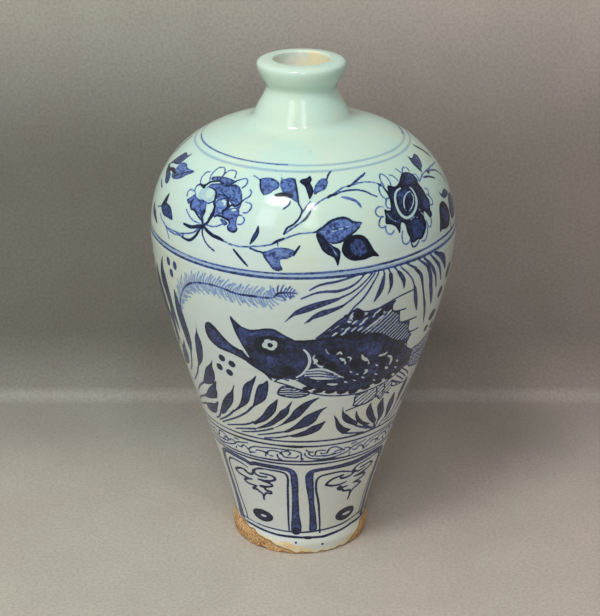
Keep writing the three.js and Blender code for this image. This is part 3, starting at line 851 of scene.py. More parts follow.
# %% The fish's body
FISH_BODY = [(-28, 216), (-26, 213), (-24, 210), (-22, 208.5), (-20, 208), (-17, 209), (-14, 210.5),
    (-11, 210.5), (-9, 208.5), (-6.5, 205.5), (-4, 203), (-1, 202.3), (3, 203), (8, 203.5), (14, 204.2),
    (20, 204), (26, 203), (30, 201.5), (34, 197.5), (38, 193.5), (42, 190), (46, 185), (50, 179), (54, 175),
    (58, 171.5), (62, 168), (62, 161), (56, 160.5), (51, 160.5), (46, 159.5), (42, 158), (36, 157),
    (30, 154.5), (24, 153.4), (16, 155), (8, 157.8), (2, 162), (-2, 166.5), (-6, 168.3), (-11, 169.5),
    (-15, 171.2), (-18, 174.5), (-21.3, 183.5), (-22.5, 188), (-24, 193), (-25.3, 198.5), (-26.5, 204),
    (-27.5, 211)]
FISH = {"fills": [
    (0.76, FISH_BODY),
    (MID, [(-24.5, 209.5), (-20, 207), (-16, 208.8), (-12, 209.8), (-9, 207.5), (-6, 204.8), (-9.5, 204.3),
     (-14, 205), (-19, 204), (-22, 201), (-23, 194), (-24.6, 199)]),
    (MID, [(-14.5, 186), (-12.5, 187.5), (-11, 184.5), (-11.3, 179.5), (-12.5, 177), (-14.2, 179)]),
    (MID, [(22, 192), (26, 195), (30, 195), (33, 190), (33, 184), (29, 183), (25, 187)]),
    (MID, [(30, 174), (33, 176), (35, 172), (34, 167), (31, 166.5)]),
    (HEAPED, [(-19, 200), (-16, 204), (-12, 205.2), (-8, 203.5), (-6.5, 199), (-7.5, 193), (-10.5, 189.5),
     (-14.5, 188.8), (-17.5, 191), (-19, 195)]),
    (HEAPED, [(5.5, 189), (7, 190.5), (8.6, 188), (8.5, 182), (6.8, 180), (5.3, 183)]),
    (HEAPED, [(35.5, 178), (37.2, 176), (38, 171), (37.3, 166.5), (35.5, 168), (34.8, 173)]),
    (DARK, [(-3, 202.5), (3, 202.6), (12, 203.6), (22, 203.4), (29, 200.6), (37, 193), (44, 185),
     (40, 187.5), (33, 194), (27, 197.6), (20, 199.4), (12, 198), (4, 199.6), (-1, 200.4)]),
    (HEAPED, [(10, 193), (13, 195), (17, 193), (16.4, 189.6), (12, 189)]),
    (HEAPED, [(9.4, 181), (12.4, 183.4), (13.8, 179), (12.6, 174), (10, 175)]),
    (HEAPED, [(20, 181), (23.4, 183), (24.4, 178), (23, 173), (20.4, 174.6)]),
    (HEAPED, [(40.6, 184), (44.6, 181), (46.4, 176), (43.4, 176.4), (41, 179.6)]),
    (HEAPED, [(-9, 177), (-5, 180), (-2.6, 176), (-5, 171.4), (-9, 171.6)]),
    (HEAPED, [(46, 168), (52, 169), (56, 165.6), (50, 163.6)]),
    (DARK, [(-21.5, 185), (-24, 189), (-26, 190), (-29, 192.5), (-32, 197), (-34.5, 202), (-36.5, 205.5),
     (-38.5, 207), (-40.5, 205), (-41.3, 200), (-41, 195), (-39.5, 190.5), (-36.5, 187), (-33, 185.5),
     (-30, 184.8), (-26, 182.5), (-23, 180), (-20, 176.5), (-16, 172), (-14, 168), (-13, 166.5), (-14, 172),
     (-17, 178)]),
    (MID, [(-27, 187.5), (-30, 190), (-33.5, 195), (-36.5, 201), (-38.3, 203.5), (-39.4, 199), (-38.8, 194),
     (-36.5, 190), (-33, 188), (-29.5, 186.5)]),
], "whites": [
    ((1.6, 2.2, 2.2, 1.2), [(0.5, 194.5), (2, 191), (2.8, 186), (2.5, 181), (1.2, 176), (-0.5, 172.5),
     (-2.5, 170)]),
    ((0.6, 1.7, 1.0), [(-25.2, 193.5), (-24.2, 190), (-23, 187), (-21.9, 184.6)]),
    (1.1, [(4.8, 190), (4.2, 187), (5, 183.5), (6.5, 180.5), (8.5, 179.5)]),
    (0.9, [(8.9, 194.5), (9.6, 191.5), (10.8, 189.5)]),
    (0.9, [(-5.6, 168.9), (-3.8, 167.2), (-1.5, 168.4)]),
    (1.7, [(13.6, 189.2), (14.8, 190.6), (15.6, 188.6)]),
    ((1.3, 2.8, 1.6), [(15.2, 185.4), (16.6, 183.2), (17.6, 180.2)]),
    (2.0, [(18.4, 185.4), (19.6, 184), (19, 182.2)]),
    ((1.3, 2.8, 1.6), [(24.6, 185.4), (25.3, 182.6), (27.2, 179.8), (28.6, 176.4)]),
    (2.0, [(27.4, 171.2), (28.6, 169.6), (27.2, 167.6)]),
    (1.4, [(32.4, 173.6), (33.6, 172)]),
    ((1.2, 2.6, 1.4), [(33, 181.4), (35.4, 180.8), (37, 182)]),
    ((1.2, 2.8, 1.6), [(38, 178.6), (39.8, 176.8), (40.9, 172.8), (40.6, 170)]),
    (2.2, [(38.4, 168.2), (39.8, 166.8)]),
    (2.0, [(4.2, 186.4), (5.6, 184.6), (4.6, 182.4)]),
    (1.8, [(6.4, 180), (8.2, 178.8)]),
    (1.3, [(33, 165.2), (34.6, 163.8)]),
    (1.2, [(23.2, 169.2), (24.6, 168)]),
    (1.1, [(20.2, 172.4), (21.4, 170.8)]),
    ((1.2, 2.2, 1.2), [(11, 163), (13.4, 162.2), (15.4, 162)]),
    (1.3, [(18.4, 163.6), (19.8, 162.4)]),
    (1.2, [(22.6, 163.8), (24, 162.4)]),
    (1.2, [(26.4, 165.2), (27.8, 163.8)]),
    (1.1, [(32.8, 159.8), (34.4, 158.4)]),
    (1.6, [(44.4, 171.4), (45.6, 169.2)]),
    (1.3, [(44.6, 165.2), (46, 163.8)]),
    (1.0, [(5.8, 167.4), (7, 166)]),
], "lines": [
    (DARK, [(-27.8, 216.4), (-26, 213), (-24, 210), (-22, 208.5), (-20, 208), (-17, 209), (-14, 210.5),
     (-11, 210.5), (-9, 208.5), (-6.5, 205.5), (-4, 203)]),
    (DARK, [(-12, 165.5), (-8, 163.5), (-4, 161), (0, 158), (4, 155.5), (9, 153), (14, 151.5), (20, 150.5),
     (26, 150), (32, 150.8), (38, 152.5), (44, 155), (50, 159), (54, 162), (57, 165)]),
    (DARK, [(-12, 165.5), (-9, 168.5), (-6, 167)]),
    (DARK, [(-23, 180), (-20, 176.5), (-16, 172), (-14, 168), (-13, 166.5)]),
]}
paint("fish", FISH)

# %% The eye and the scales
for azimuth, climb, across, up in (
        (-12.7, 197.4, 2.9, 3.7), (-14.6, 196.6, 1.4, 2.4), (-11.2, 199.2, 1.5, 2.4),
        (-12.4, 194.8, 1.7, 1.9), (-13.4, 200.3, 1.5, 1.9)):
    dot(azimuth, climb, across, up, 0, layer="white")
dot(-12.6, 197.3, 1.1, 1.9, HEAPED)
for azimuth, climb in ((-11, 169.4), (2.4, 160), (7, 157), (12.4, 155.6), (18, 154), (23.6, 152.8),
                       (30, 153.8), (36.4, 156), (42.4, 157), (48, 159.4)):
    dot(azimuth, climb, 2.4, 1.7, HEAPED)
for azimuth, climb in ((16.2, 181), (27.2, 177.4), (39, 174.6), (32, 169.6), (23.4, 165.6), (9.6, 184.4),
                       (18.4, 183.2), (35.2, 178.6), (45.4, 167.4)):
    dot(azimuth, climb, 1.0, 1.6, HEAPED)

print("eye and scales painted")

# %% The breast fin
PECTORAL = [(1.6, 175.6), (4.5, 177.8), (9, 177.5), (12.5, 174.4), (15.5, 170.4), (18, 167), (12, 166.6),
    (6, 167.2), (1.2, 170)]
fill(PECTORAL, 0, layer="white")
for lift in range(3):
    stroke([(1.5, 170.8 + 2.2 * lift), (7, 170.6 + 2.5 * lift), (12.5 - 0.8 * lift, 168.8 + 2.3 * lift),
            (17 - 2 * lift, 167.2 + 2.2 * lift)], 1.1, MID)
stroke([(1.2, 170), (6, 167.3), (12, 166.6), (18, 166.4), (22, 165)], 0.9, DARK)
print("breast fin points:", len(PECTORAL))

# %% The back fin
DORSAL = [(5, 204), (7.5, 208), (10, 212), (13, 217), (16, 220.5), (20, 225), (23, 222.3), (29, 223.4),
    (36, 226), (35, 222), (35.4, 217.5), (39, 215.8), (39.2, 210), (41, 205.6), (46, 203.6), (46.2, 197),
    (48, 193.4), (49.2, 190), (47.6, 184), (42, 189), (36, 195), (30, 201), (24, 203), (14, 204),
    (8, 203.5)]
fill(DORSAL, 0.6)
DORSAL_RAYS = [(22, 205), (26, 211), (31, 216.6), (36, 222), (36, 217), (39.5, 212), (42, 205), (46, 200),
    (48, 190), (42, 189.6), (36, 195.6), (30, 201.6)]
hatch(DORSAL_RAYS, 38, 2.9, 0.9, 0, 0.15, "white")
for azimuth, climb in ((9.6, 209.8), (12.6, 213), (12, 206.6), (15.4, 206.6), (16.8, 209.8), (17.6, 218.6),
                       (19.4, 214.6), (22.4, 213), (22, 208.4), (23.6, 215.6), (25.4, 208.4), (24.4, 222),
                       (28.8, 220.4), (30.6, 214.6), (31.4, 218.6), (34, 217.8)):
    stroke([(azimuth - 0.9, climb - 1.2), (azimuth + 0.9, climb + 1.2)], 1.6, 0, layer="white")
DORSAL_FIN = {"fills": [
    (HEAPED, [(19, 221.5), (21, 224), (22.8, 221.5), (22.6, 217.8), (20.6, 216.8), (19.2, 218.8)]),
    (DARK, [(28.5, 219), (30.5, 221.6), (33.5, 220), (33, 216.8), (30, 216.4)]),
    (DARK, [(9, 207.5), (14, 208.5), (20, 207.5), (27, 205.5), (32, 202), (26, 203.4), (14, 204.4)]),
], "whites": [
    (1.6, [(22.4, 223), (23.8, 220.4), (22.9, 218.2)]),
    (1.2, [(7.6, 206), (9.6, 209), (11.4, 210.8), (12.4, 207.8)]),
    (1.2, [(18.4, 222.6), (17.6, 219.5), (18.4, 216.6)]),
    (1.8, [(16.6, 215.9), (17.8, 215.3)]),
    (1.4, [(14, 213), (15, 210)]),
    (1.3, [(18.4, 207.2), (20.2, 210.4)]),
    (1.3, [(27.6, 219.6), (26.8, 216.2)]),
    (1.2, [(26.4, 209.2), (29.2, 212.4)]),
], "lines": [
    (1.3, DARK, [(5, 204), (7.5, 208), (10, 212), (13, 217), (16, 220.5), (18, 223.5), (20, 225.5)]),
    (DARK, [(7, 204.4), (10, 209.8), (13.5, 214.6), (17, 218.4)]),
    (DARK, [(20, 225.5), (23, 222), (27, 222), (30, 223.5), (34, 226), (38, 228), (44.5, 229.5)]),
    (DARK, [(35, 224.5), (35, 219), (37, 216.5), (42, 216)]),
    (DARK, [(39, 214), (39.5, 209), (41, 205.5), (50, 204.5)]),
    (DARK, [(46, 202), (46.3, 197), (48, 193.5), (54, 193)]),
    (DARK, [(49.5, 190.5), (48, 186), (48.5, 181)]),
    (DARK, [(26.5, 203.2), (31, 201.2), (35, 197.4)]),
]}
paint("back fin", DORSAL_FIN)
for azimuth, climb, across, up in ((20.5, 222.4, 1.4, 1.6), (20.6, 217.6, 1.8, 1.7), (16, 220.6, 1.1, 1.2),
                                   (15.4, 212.6, 2.0, 2.0), (23.6, 218, 0.9, 1.2), (25.4, 218.8, 1.3, 1.5),
                                   (29.6, 218, 1.6, 1.4), (33, 221, 2.0, 2.6), (12.5, 209.6, 1.5, 1.5),
                                   (19, 211.6, 1.4, 1.4), (25, 212, 1.4, 1.2), (27.4, 214.6, 1.3, 1.2),
                                   (9, 207.6, 1.2, 1.4)):
    dot(azimuth, climb, across, up, DARK)

# %% The belly fins
VENTRAL = [(-11, 154.5), (-10, 158.5), (-8, 161.5), (-5, 161), (-1, 159), (3, 156.5), (2, 153.5),
    (-2, 151.5), (-6, 151.5), (-10, 152.8)]
hatch(VENTRAL, 3, 2.1, 1.1, DARK, 0.4)
stroke(VENTRAL + VENTRAL[:1], 0.9, DARK, ends=1)
BELLY_FIN = [(25.3, 148), (25.6, 138.8), (31, 138), (35, 139.5), (36.5, 141.5), (41, 138.5), (43.5, 142.5),
    (46.5, 140.5), (47, 148), (46, 153), (40, 152.4), (36, 150.5), (30, 149.5)]
hatch(BELLY_FIN, 42, 3.1, 1.1, MID, 0.2)
BELLY_FINS = {"lines": [
    (DARK, [(30, 149.5), (27, 149.2), (25.3, 148), (25.5, 142), (25.6, 138.8), (31, 138), (35, 139.5),
     (38, 142.5), (41, 138.2), (43.5, 142.5), (47, 140)]),
    (DARK, [(22, 135), (25, 136.5), (30, 138), (34, 139)]),
    (DARK, [(36.5, 150.5), (37.5, 146), (37.2, 142)]),
    (HEAPED, [(41, 152), (42, 147.5), (41.5, 143)]),
    (DARK, [(46, 152.5), (51, 148), (55.5, 144.6), (58.5, 143.5)]),
    (DARK, [(46, 152.5), (47, 147), (50.5, 145.2), (55, 144.4)]),
    (DARK, [(46.6, 151.2), (49, 149), (51.2, 146)]),
    (DARK, [(48.5, 155), (52, 151.4), (56, 147)]),
    (DARK, [(50, 157.4), (54.5, 152.6), (58, 148.2)]),
    (DARK, [(52, 159), (57, 154), (60, 149.6)]),
]}
paint("belly fins", BELLY_FINS)

# %% The tail
TAIL = [(55, 175), (60, 175.5), (66, 178), (72, 181.5), (76, 183), (74, 176), (71.5, 168), (74, 160),
    (77, 151), (70, 152), (63, 155), (56, 160)]
fill(TAIL, MID)
hatch(TAIL, 28, 2.1, 0.8, 0, 0.5, "white")
hatch(TAIL, -30, 2.7, 0.6, 0, 0.5, "white")
stroke(TAIL + TAIL[:1], 1.1, DARK, ends=1)
stroke([(57, 168), (63, 168.2), (70, 168)], 1.4, DARK)
print("fish painted")

# %% [markdown]
# The water weeds
#
# Each blade of weed is one loaded stroke: it starts as a thin stem, swells, and ends in a point.
# The blades fan out from a few roots. A blade is a closed curve up one edge and down the other.

# %% Blades of weed
BLADE_TONE = 0.67
FAR_BLADE_TONE = 0.54


def blade(left, right, stem=(), tone=FAR_BLADE_TONE):
    """A leaf between its two edges, both from the tip down, and the thin stem under it."""
    fill(left + right[::-1], tone)
    middle = [((a[0] + b[0]) / 2, (a[1] + b[1]) / 2) for a, b in zip(left[2:5], right[1:4])]
    if len(middle) > 1:
        stroke(middle, LEAST_WIDTH, min(tone + 0.14, HEAPED))
    if stem:
        stroke([left[-1]] + stem, (1.7, 1.1), tone)


LEFT_BLADES = [
    ([(-63.7, 243), (-66.5, 236), (-68.3, 228), (-69, 221), (-67.5, 214), (-66.5, 205), (-65, 196),
      (-63, 185)], [(-64.5, 236), (-63, 226), (-62, 215), (-61.7, 203), (-61.8, 190), (-62.5, 184)], []),
    ([(-73, 232), (-75, 222), (-74.5, 210), (-72.5, 198), (-70, 186), (-67.5, 176)],
     [(-71.5, 222), (-70, 210), (-69, 198), (-67.6, 186), (-66.4, 176)],
     [(-67, 172), (-68, 160), (-70, 150)]),
    ([(-57, 222.5), (-58.3, 215), (-59.3, 205), (-59.3, 195), (-58.5, 187), (-58, 177), (-57, 170.5)],
     [(-56, 216), (-54.5, 207), (-53.7, 197), (-53.3, 188), (-53.8, 180), (-55.5, 173)],
     [(-59, 163), (-62, 155), (-65, 150)]),
    ([(-46.2, 203.5), (-47.3, 195), (-49.5, 188), (-50.8, 180), (-52, 172), (-53.2, 164), (-54.5, 159)],
     [(-46.8, 195), (-46.1, 188), (-46, 183), (-47, 175), (-49, 168), (-52, 162.5)],
     [(-57, 153), (-60, 148), (-65, 141)]),
    ([(-41.8, 172.5), (-44, 168), (-47.5, 163), (-50, 157), (-52, 151.5), (-54.5, 145)],
     [(-42.8, 166), (-42.6, 160), (-44, 153), (-47, 148.5), (-51, 146)], [(-60, 139), (-66, 131)]),
    ([(-42.9, 153.5), (-46, 149), (-49, 145), (-52, 140.5), (-55, 135.5), (-59, 130.5)],
     [(-44.5, 146), (-44.7, 141), (-46.5, 136), (-50, 133.5), (-55, 131)], [(-66, 125), (-72, 119)]),
    ([(-46, 133), (-50, 129), (-54, 127), (-60, 123)],
     [(-48.5, 126), (-51, 120), (-55, 117.5), (-60, 117.5)], [(-66, 119), (-72, 115)]),
    ([(-32, 156), (-34.5, 149), (-37.5, 144.5), (-40, 140), (-42.5, 135), (-44.5, 130), (-46, 125)],
     [(-33.2, 149.5), (-34, 144), (-35, 139), (-37, 134), (-40, 129), (-43, 124), (-46, 121.5)],
     [(-49, 118), (-53, 114)]),
    ([(-20, 168.5), (-22.5, 164), (-25.5, 160), (-27.5, 155), (-28.5, 149), (-29.7, 143.5), (-32, 136.5),
      (-36, 130)],
     [(-21, 163), (-22.5, 157), (-24, 150), (-25.5, 143.5), (-28, 138.5), (-32, 133.5), (-37, 127.5)],
     [(-40, 124), (-45, 118.5), (-50, 114)]),
    ([(-15.2, 165.5), (-17, 162.5), (-19.5, 160), (-21.5, 152), (-23.2, 143), (-24.5, 138)],
     [(-14.8, 162), (-15.3, 156), (-16.5, 149), (-19, 144), (-22, 140.5), (-24.8, 136.5)],
     [(-28, 132), (-34, 125), (-42, 118), (-48, 113)]),
    ([(-11.2, 149), (-13, 146), (-15.3, 142.5), (-17.5, 137.5), (-19.5, 132.5), (-22, 128), (-25, 123.5)],
     [(-11.4, 145.5), (-12, 140.5), (-13, 136), (-15.5, 131), (-18.5, 126.5), (-22, 123.5), (-25, 121)],
     [(-30, 119.5), (-36, 116.5), (-44, 112.5)]),
    ([(-4.5, 148), (-7.5, 141.5), (-10, 138.5), (-12, 134), (-14, 130), (-17, 125.5), (-21, 121),
      (-25, 117)], [(-5.8, 141), (-6.3, 136.5), (-8.5, 131.5), (-11.5, 127.5), (-15, 123), (-19, 120)],
     [(-31, 115), (-38, 112)]),
    ([(8, 151), (4, 149), (1, 146.5), (-1.5, 143), (-3.8, 139), (-5.5, 134), (-7.8, 129.5), (-10.5, 125),
      (-15, 120)], [(5, 146.5), (3, 142), (0.8, 137), (-1.5, 132.5), (-5, 128.5), (-8.5, 125.5)],
     [(-20, 117), (-27, 113.5), (-34, 111)]),
    ([(12, 141.5), (7.5, 139), (4.5, 136.5), (1.5, 133.5), (-0.8, 129.5), (-3, 125.5), (-6, 121.5),
      (-10, 117.5)],
     [(10, 138.5), (8.5, 134.5), (7, 129), (4.5, 125), (1, 122.5), (-3, 120.5), (-7, 117.5)],
     [(-16, 115), (-24, 111.5)]),
    ([(12, 128), (9, 126), (5, 123.5), (2, 120), (-2, 117), (-7, 114)],
     [(11, 124.5), (9.5, 120), (6.5, 117), (2, 114.5), (-3, 113)], [(-13, 111.5), (-20, 110)]),
]
for left, right, stem in LEFT_BLADES:
    blade(left, right, stem, BLADE_TONE)
print("blades before the fish:", len(LEFT_BLADES))

# %% The low fan of blades
LOW_FAN = [
    ([(16, 132.5), (17, 127), (17.8, 121.5), (19.5, 117), (22.5, 113.5)],
     [(18, 128.5), (20, 123.5), (23, 119), (27, 115.5)], [(30, 111), (36, 109.4)]),
    ([(20, 139.5), (19.9, 135), (20.5, 129), (22.5, 124.5), (26, 121), (30, 118)],
     [(20.8, 134.5), (23, 131), (26, 126.5), (30, 121.5)], [(36, 113.5), (42, 110)]),
    ([(28, 133), (27.8, 129), (28.7, 125), (31, 120.5), (35, 116.5)],
     [(29.2, 129), (31.5, 124), (35, 119.5), (40, 115.5)], [(40, 112.4), (44, 110)]),
    ([(35.8, 137), (34.2, 133), (34.3, 128.5), (36, 123.5), (39, 118.5), (43, 114)],
     [(36.7, 133.5), (38.5, 129), (41, 122.5), (43.5, 117.5)], [(44, 110)]),
    ([(43.5, 138), (42.3, 136), (41.2, 131), (42.3, 126), (44.5, 119.5), (45.2, 114)],
     [(44.5, 134.5), (46, 129.5), (47.8, 124), (47.8, 119)], [(45, 110)]),
    ([(52, 138), (50, 132), (49.5, 127), (50.5, 121), (51.5, 115.5)],
     [(54, 132), (55, 126.5), (54.5, 121), (53, 115.5)], [(48, 110)]),
    ([(60, 146), (58, 137), (57.8, 130), (59, 124)], [(62, 144), (62.5, 138), (61, 131)],
     [(57, 117), (52, 111)]),
    ([(72, 143), (69, 136), (66.5, 129), (64.5, 122)], [(73, 136), (71.5, 128.5), (67.5, 121.5)],
     [(61, 115), (55, 110.5)]),
]
for left, right, stem in LOW_FAN:
    blade(left, right, stem, BLADE_TONE)
print("blades under the fish:", len(LOW_FAN))

# %% The high fan of blades
HIGH_FAN = [
    ([(13, 235.5), (9, 234.5), (5, 233), (1.5, 230.8), (-1.5, 228), (-3.5, 225), (-7, 216.5)],
     [(13, 233.8), (9, 230.8), (5, 228), (1, 225), (-2, 223.3), (-4, 221.5)]),
    ([(15, 230), (11, 228), (7, 226.5), (4, 223.5), (0.3, 216)],
     [(14, 227.5), (10, 224), (6.5, 221.5), (3.3, 219.5)]),
    ([(29.3, 247), (28.3, 241), (27.2, 235), (26.2, 228)],
     [(30.2, 246), (30.1, 240), (29.5, 235.5), (28.5, 232.5)]),
    ([(31.8, 247.5), (32.2, 241), (32.5, 236), (31.7, 231)], [(33.2, 247), (33.8, 241), (33.5, 236.5)]),
    ([(35.2, 247.5), (37, 242), (38.5, 237), (39.3, 232.5)], [(36.5, 247.5), (38.7, 243), (39.8, 238.5)]),
    ([(44.3, 233), (45.2, 225), (46.2, 219), (49, 210)], [(45.8, 231), (47.3, 224), (48.5, 217)]),
    ([(43.5, 246), (47, 238.5), (49.3, 230), (51, 222), (53.5, 211), (57.5, 194)],
     [(46, 244), (49, 238), (50.5, 229), (52.5, 220), (54.8, 212), (56.5, 203)]),
    ([(51, 243), (53.5, 233), (55, 224), (58, 213), (59.8, 208.5)],
     [(53, 242), (55.6, 234), (57.2, 225), (59.4, 215)]),
]
for left, right in HIGH_FAN:
    blade(left, right)
HIGH_STEMS = [
    ((0.9, 1.8, 1.2), [(22, 251.5), (17, 249.5), (12, 247.5), (8, 246.5), (5, 245), (2.3, 242)]),
    ((0.9, 2.2, 1.0), [(22, 250.5), (19, 245), (16, 242), (12, 240.3), (8, 240.5), (4, 239.5),
     (-0.8, 235.5)]),
    ((1.0, 1.4), [(25, 250.5), (21, 243), (17, 238), (13, 235)]),
    ((1.0, 1.4), [(26, 250), (22, 241), (18, 234), (14.6, 229.3)]),
    ((1.0, 1.6, 1.4, 0.6), [(27.5, 250), (24.5, 240), (22, 233), (18.5, 226.5), (17, 222.5)]),
    ((0.9, 1.3), [(37, 250), (40.5, 244), (43, 238.5), (44.6, 233)]),
    ((1.0, 1.4), [(29.5, 251), (29.8, 247)]),
    ((0.9, 1.3), [(31.5, 251), (32.4, 247.5)]),
    ((0.9, 1.3), [(34, 251), (35.8, 247.5)]),
    ((1.2, 2.0), [(40, 251), (44.6, 245.5)]),
    ((1.2, 2.4), [(46, 251), (52, 242.6)]),
    ((1.4, 3.2, 1.6), [(49, 250.5), (53, 244), (56, 238), (58.5, 231.5), (60.7, 222)]),
    ((1.4, 3.2, 1.6), [(53, 250.5), (57, 244), (60, 239), (62, 233.5), (64.3, 225)]),
    ((2.0, 6.0, 2.0), [(56, 250.5), (60, 246.5), (63.5, 242), (66, 236), (67.3, 232)]),
]
for width, points in HIGH_STEMS:
    stroke(points, width, MID)
print("blades and stems over the fish:", len(HIGH_FAN), len(HIGH_STEMS))

# %% The feather weed
FEATHER = [(-55.5, 207), (-54.5, 212), (-53.5, 217), (-51.5, 223), (-49.5, 228), (-47, 232), (-44, 235),
    (-40, 237), (-35, 238), (-30, 237.5), (-25, 235.5), (-20, 235.5), (-15, 235.3), (-11, 235.5), (-9, 239),
    (-6.5, 240), (-2.3, 239.7)]
HAIR_GAP = 2.0
HAIR_LENGTH = 9.0
HAIR_TONE = 0.21
HAIR_DARK_FROM = 0.86
HAIR_LEAN = 68
HAIR_BOW = 54
DASHES = ((0.3, 0.38), (0.42, 0.45), (0.49, 0.53), (0.57, 0.64), (0.66, 0.73), (0.77, 0.8), (0.85, 0.97))
stroke(FEATHER, (0.9, 1.2, 1.1), THIN)
spine = smooth(FEATHER)
for start, end in DASHES:
    stroke(spine[int(start * len(spine)):int(end * len(spine))], 1.4, 0.7)
scale_x = math.radians(BELLY_RADIUS)
walk = np.concatenate([[0], np.cumsum(np.hypot(np.diff(spine[:, 0]) * scale_x, np.diff(spine[:, 1])))])
for number, at in enumerate(np.arange(1, walk[-1] - 1, HAIR_GAP)):
    root = np.array([np.interp(at, walk, spine[:, 0]), np.interp(at, walk, spine[:, 1])])
    tip = np.array([np.interp(at + 1.5, walk, spine[:, 0]), np.interp(at + 1.5, walk, spine[:, 1])])
    heading = math.atan2(tip[1] - root[1], (tip[0] - root[0]) * scale_x)
    length = HAIR_LENGTH * (0.85 + 0.2 * math.sin(number * 2.3)) * min(1, 0.35 + at / 25)
    length = length * min(1, 0.35 + (walk[-1] - at) / 30)
    tone = THIN if at > walk[-1] * HAIR_DARK_FROM else HAIR_TONE
    for side in (1, -1):
        turn_out = heading + side * math.radians(HAIR_LEAN + 5 * math.sin(number * 1.7 + side))
        bow = heading + side * math.radians(HAIR_BOW)
        halfway = (root[0] + 0.5 * length * math.cos(turn_out) / scale_x,
                   root[1] + 0.5 * length * math.sin(turn_out))
        end = (halfway[0] + 0.5 * length * math.cos(bow) / scale_x,
               halfway[1] + 0.5 * length * math.sin(bow))
        stroke([tuple(root), halfway, end], tone=tone)
stroke(FEATHER[3:], 6.5, 0.07, layer="fill", ends=0.3)
stroke(FEATHER[4:8], (2.0, 6.0, 4.0), 0.15, layer="fill")
print("feather weed, mm long:", round(walk[-1]))

# %% Duckweed dots
for azimuth, climb in ((-58.8, 242.5), (-54.2, 242), (-57.3, 234.5)):
    dot(azimuth, climb, 1.3, 3.2, MID)
for azimuth, climb in ((-35.5, 178), (-30.8, 175), (-38, 169), (-33, 166.3)):
    dot(azimuth, climb, 1.7, 2.9, DARK)
for azimuth, climb, across, up in ((67.5, 213, 2.4, 4.6), (65.5, 196, 3.4, 4.2), (62.5, 187, 1.9, 2.8),
                                   (69.5, 185, 1.9, 2.8), (73.5, 226, 3.4, 6.0)):
    dot(azimuth, climb, across, up, DARK)
print("duckweed painted")

# %% Weeds between the tail of one fish and the head of the next
BACK_SHIFT = -19
BACK_LIFT = 6


def moved(points, shift, lift=0):
    """The points moved round the pot by shift degrees and up by lift mm."""
    return [(azimuth + shift, climb + lift) for azimuth, climb in points]


for left, right, stem in LEFT_BLADES[1:5]:
    blade(moved(left, BACK_SHIFT, BACK_LIFT), moved(right, BACK_SHIFT, BACK_LIFT))
for azimuth, climb in ((-84, 236), (-80, 240), (-79, 232), (86, 205), (90, 199), (85, 196)):
    dot(azimuth, climb, 1.6, 3.0, MID)
print("weeds painted")

# %% [markdown]
# The scroll band and the panels
#
# Under the fish a narrow band carries a running scroll. Under that five upright panels stand on
# the foot, each with a thick frame and a thin one inside it, a hanging ornament of curls, and
# one ring-shaped dot at its foot.

# %% The running scroll
SCROLLS_AROUND = 5
SCROLL_WIDTH = 1.15
SCROLL_BOB = 0.5
SCROLL_TONE = 0.72
SCROLL = [
    [(-32, 94.7), (-31.2, 96.2), (-29.6, 97.6), (-27.6, 98.7), (-24.8, 99.3), (-21.6, 99.7), (-18.4, 100.3),
     (-15, 100.6), (-10, 100.4), (-7.2, 100.3), (-4.4, 99.9), (-2.4, 99.1), (-1, 98.2), (-0.2, 97.1),
     (0.2, 95.3), (0, 93.5), (0.6, 91.2)],
    [(-32, 91.2), (-30, 92.6), (-28, 93.1)],
    [(-27.2, 95.3), (-26, 95.9), (-24, 95.9), (-22, 95.6), (-21.2, 94.8), (-21, 93.5), (-21.4, 91.8)],
    [(-19.6, 93.5), (-20, 94.7), (-19.8, 96.2), (-18.8, 97.4), (-17.2, 97.9), (-15.2, 97.9), (-13.6, 97.6),
     (-12.4, 97.1), (-11.8, 96.2)],
    [(-18.6, 92.6), (-16.6, 92.6)],
    [(-14, 94.8), (-13.8, 92.4), (-13.2, 91.2), (-12, 90.4)],
    [(-11, 98.2), (-11.4, 97.1), (-11.2, 95.6), (-10.6, 94.1), (-9.8, 92.9), (-8.6, 92.4)],
    [(-10, 98.2), (-8, 98.7), (-6.8, 97.9), (-6.2, 97.1), (-6.4, 95.9), (-7.4, 95.1)],
    [(-8.4, 93), (-6, 92.4), (-4, 92.4), (-2.4, 93.2), (-1.6, 94.7)],
    [(2, 96.8), (2.2, 95.6), (3, 94.1), (4.4, 92.6), (6, 91.8), (8, 91.3), (12.8, 90.6), (16, 90.4),
     (20.8, 91.2), (25.2, 92.6), (28.4, 94.1), (29.6, 95), (29.8, 95.9), (29.2, 97.1), (28, 97.9),
     (26, 98.1)],
    [(2.8, 100.3), (3.6, 99.1), (5.2, 98.2), (6.8, 97.9)],
    [(4.2, 97.1), (4.8, 95.6), (6, 94.4), (7.2, 94.1)],
    [(8, 94.4), (8.2, 96.8), (8.4, 98.2), (9.4, 99), (11.2, 99.3), (12.8, 99), (14, 98.5)],
    [(11.4, 96.5), (12.4, 95.7), (14, 95.6), (15.2, 96.2), (15.6, 97.4), (15.8, 99.1), (16.6, 100.2),
     (18, 100.9), (19.6, 100.9), (21.2, 100.3), (22.4, 99.1), (24, 98.2)],
    [(8.4, 94.1), (11.2, 93.5), (14, 93.2), (17.2, 93.5), (20.6, 94), (22.8, 94.4), (24, 95)],
    [(20, 96.2), (22, 97), (23.6, 97), (26, 95.9)],
    [(29.6, 91.2), (30.4, 92.4)],
    [(30.4, 96.2), (31.6, 97.4), (33.6, 98.2), (36, 99.1), (40, 100.3)],
    [(30, 100.3), (32, 100.9), (33.6, 100.6)],
    [(31.6, 94.7), (33.6, 93.8), (34.8, 94.7), (35.6, 95.9), (36.8, 96.5), (38.4, 95.6), (39.2, 94.1),
     (40.8, 91.5)],
]
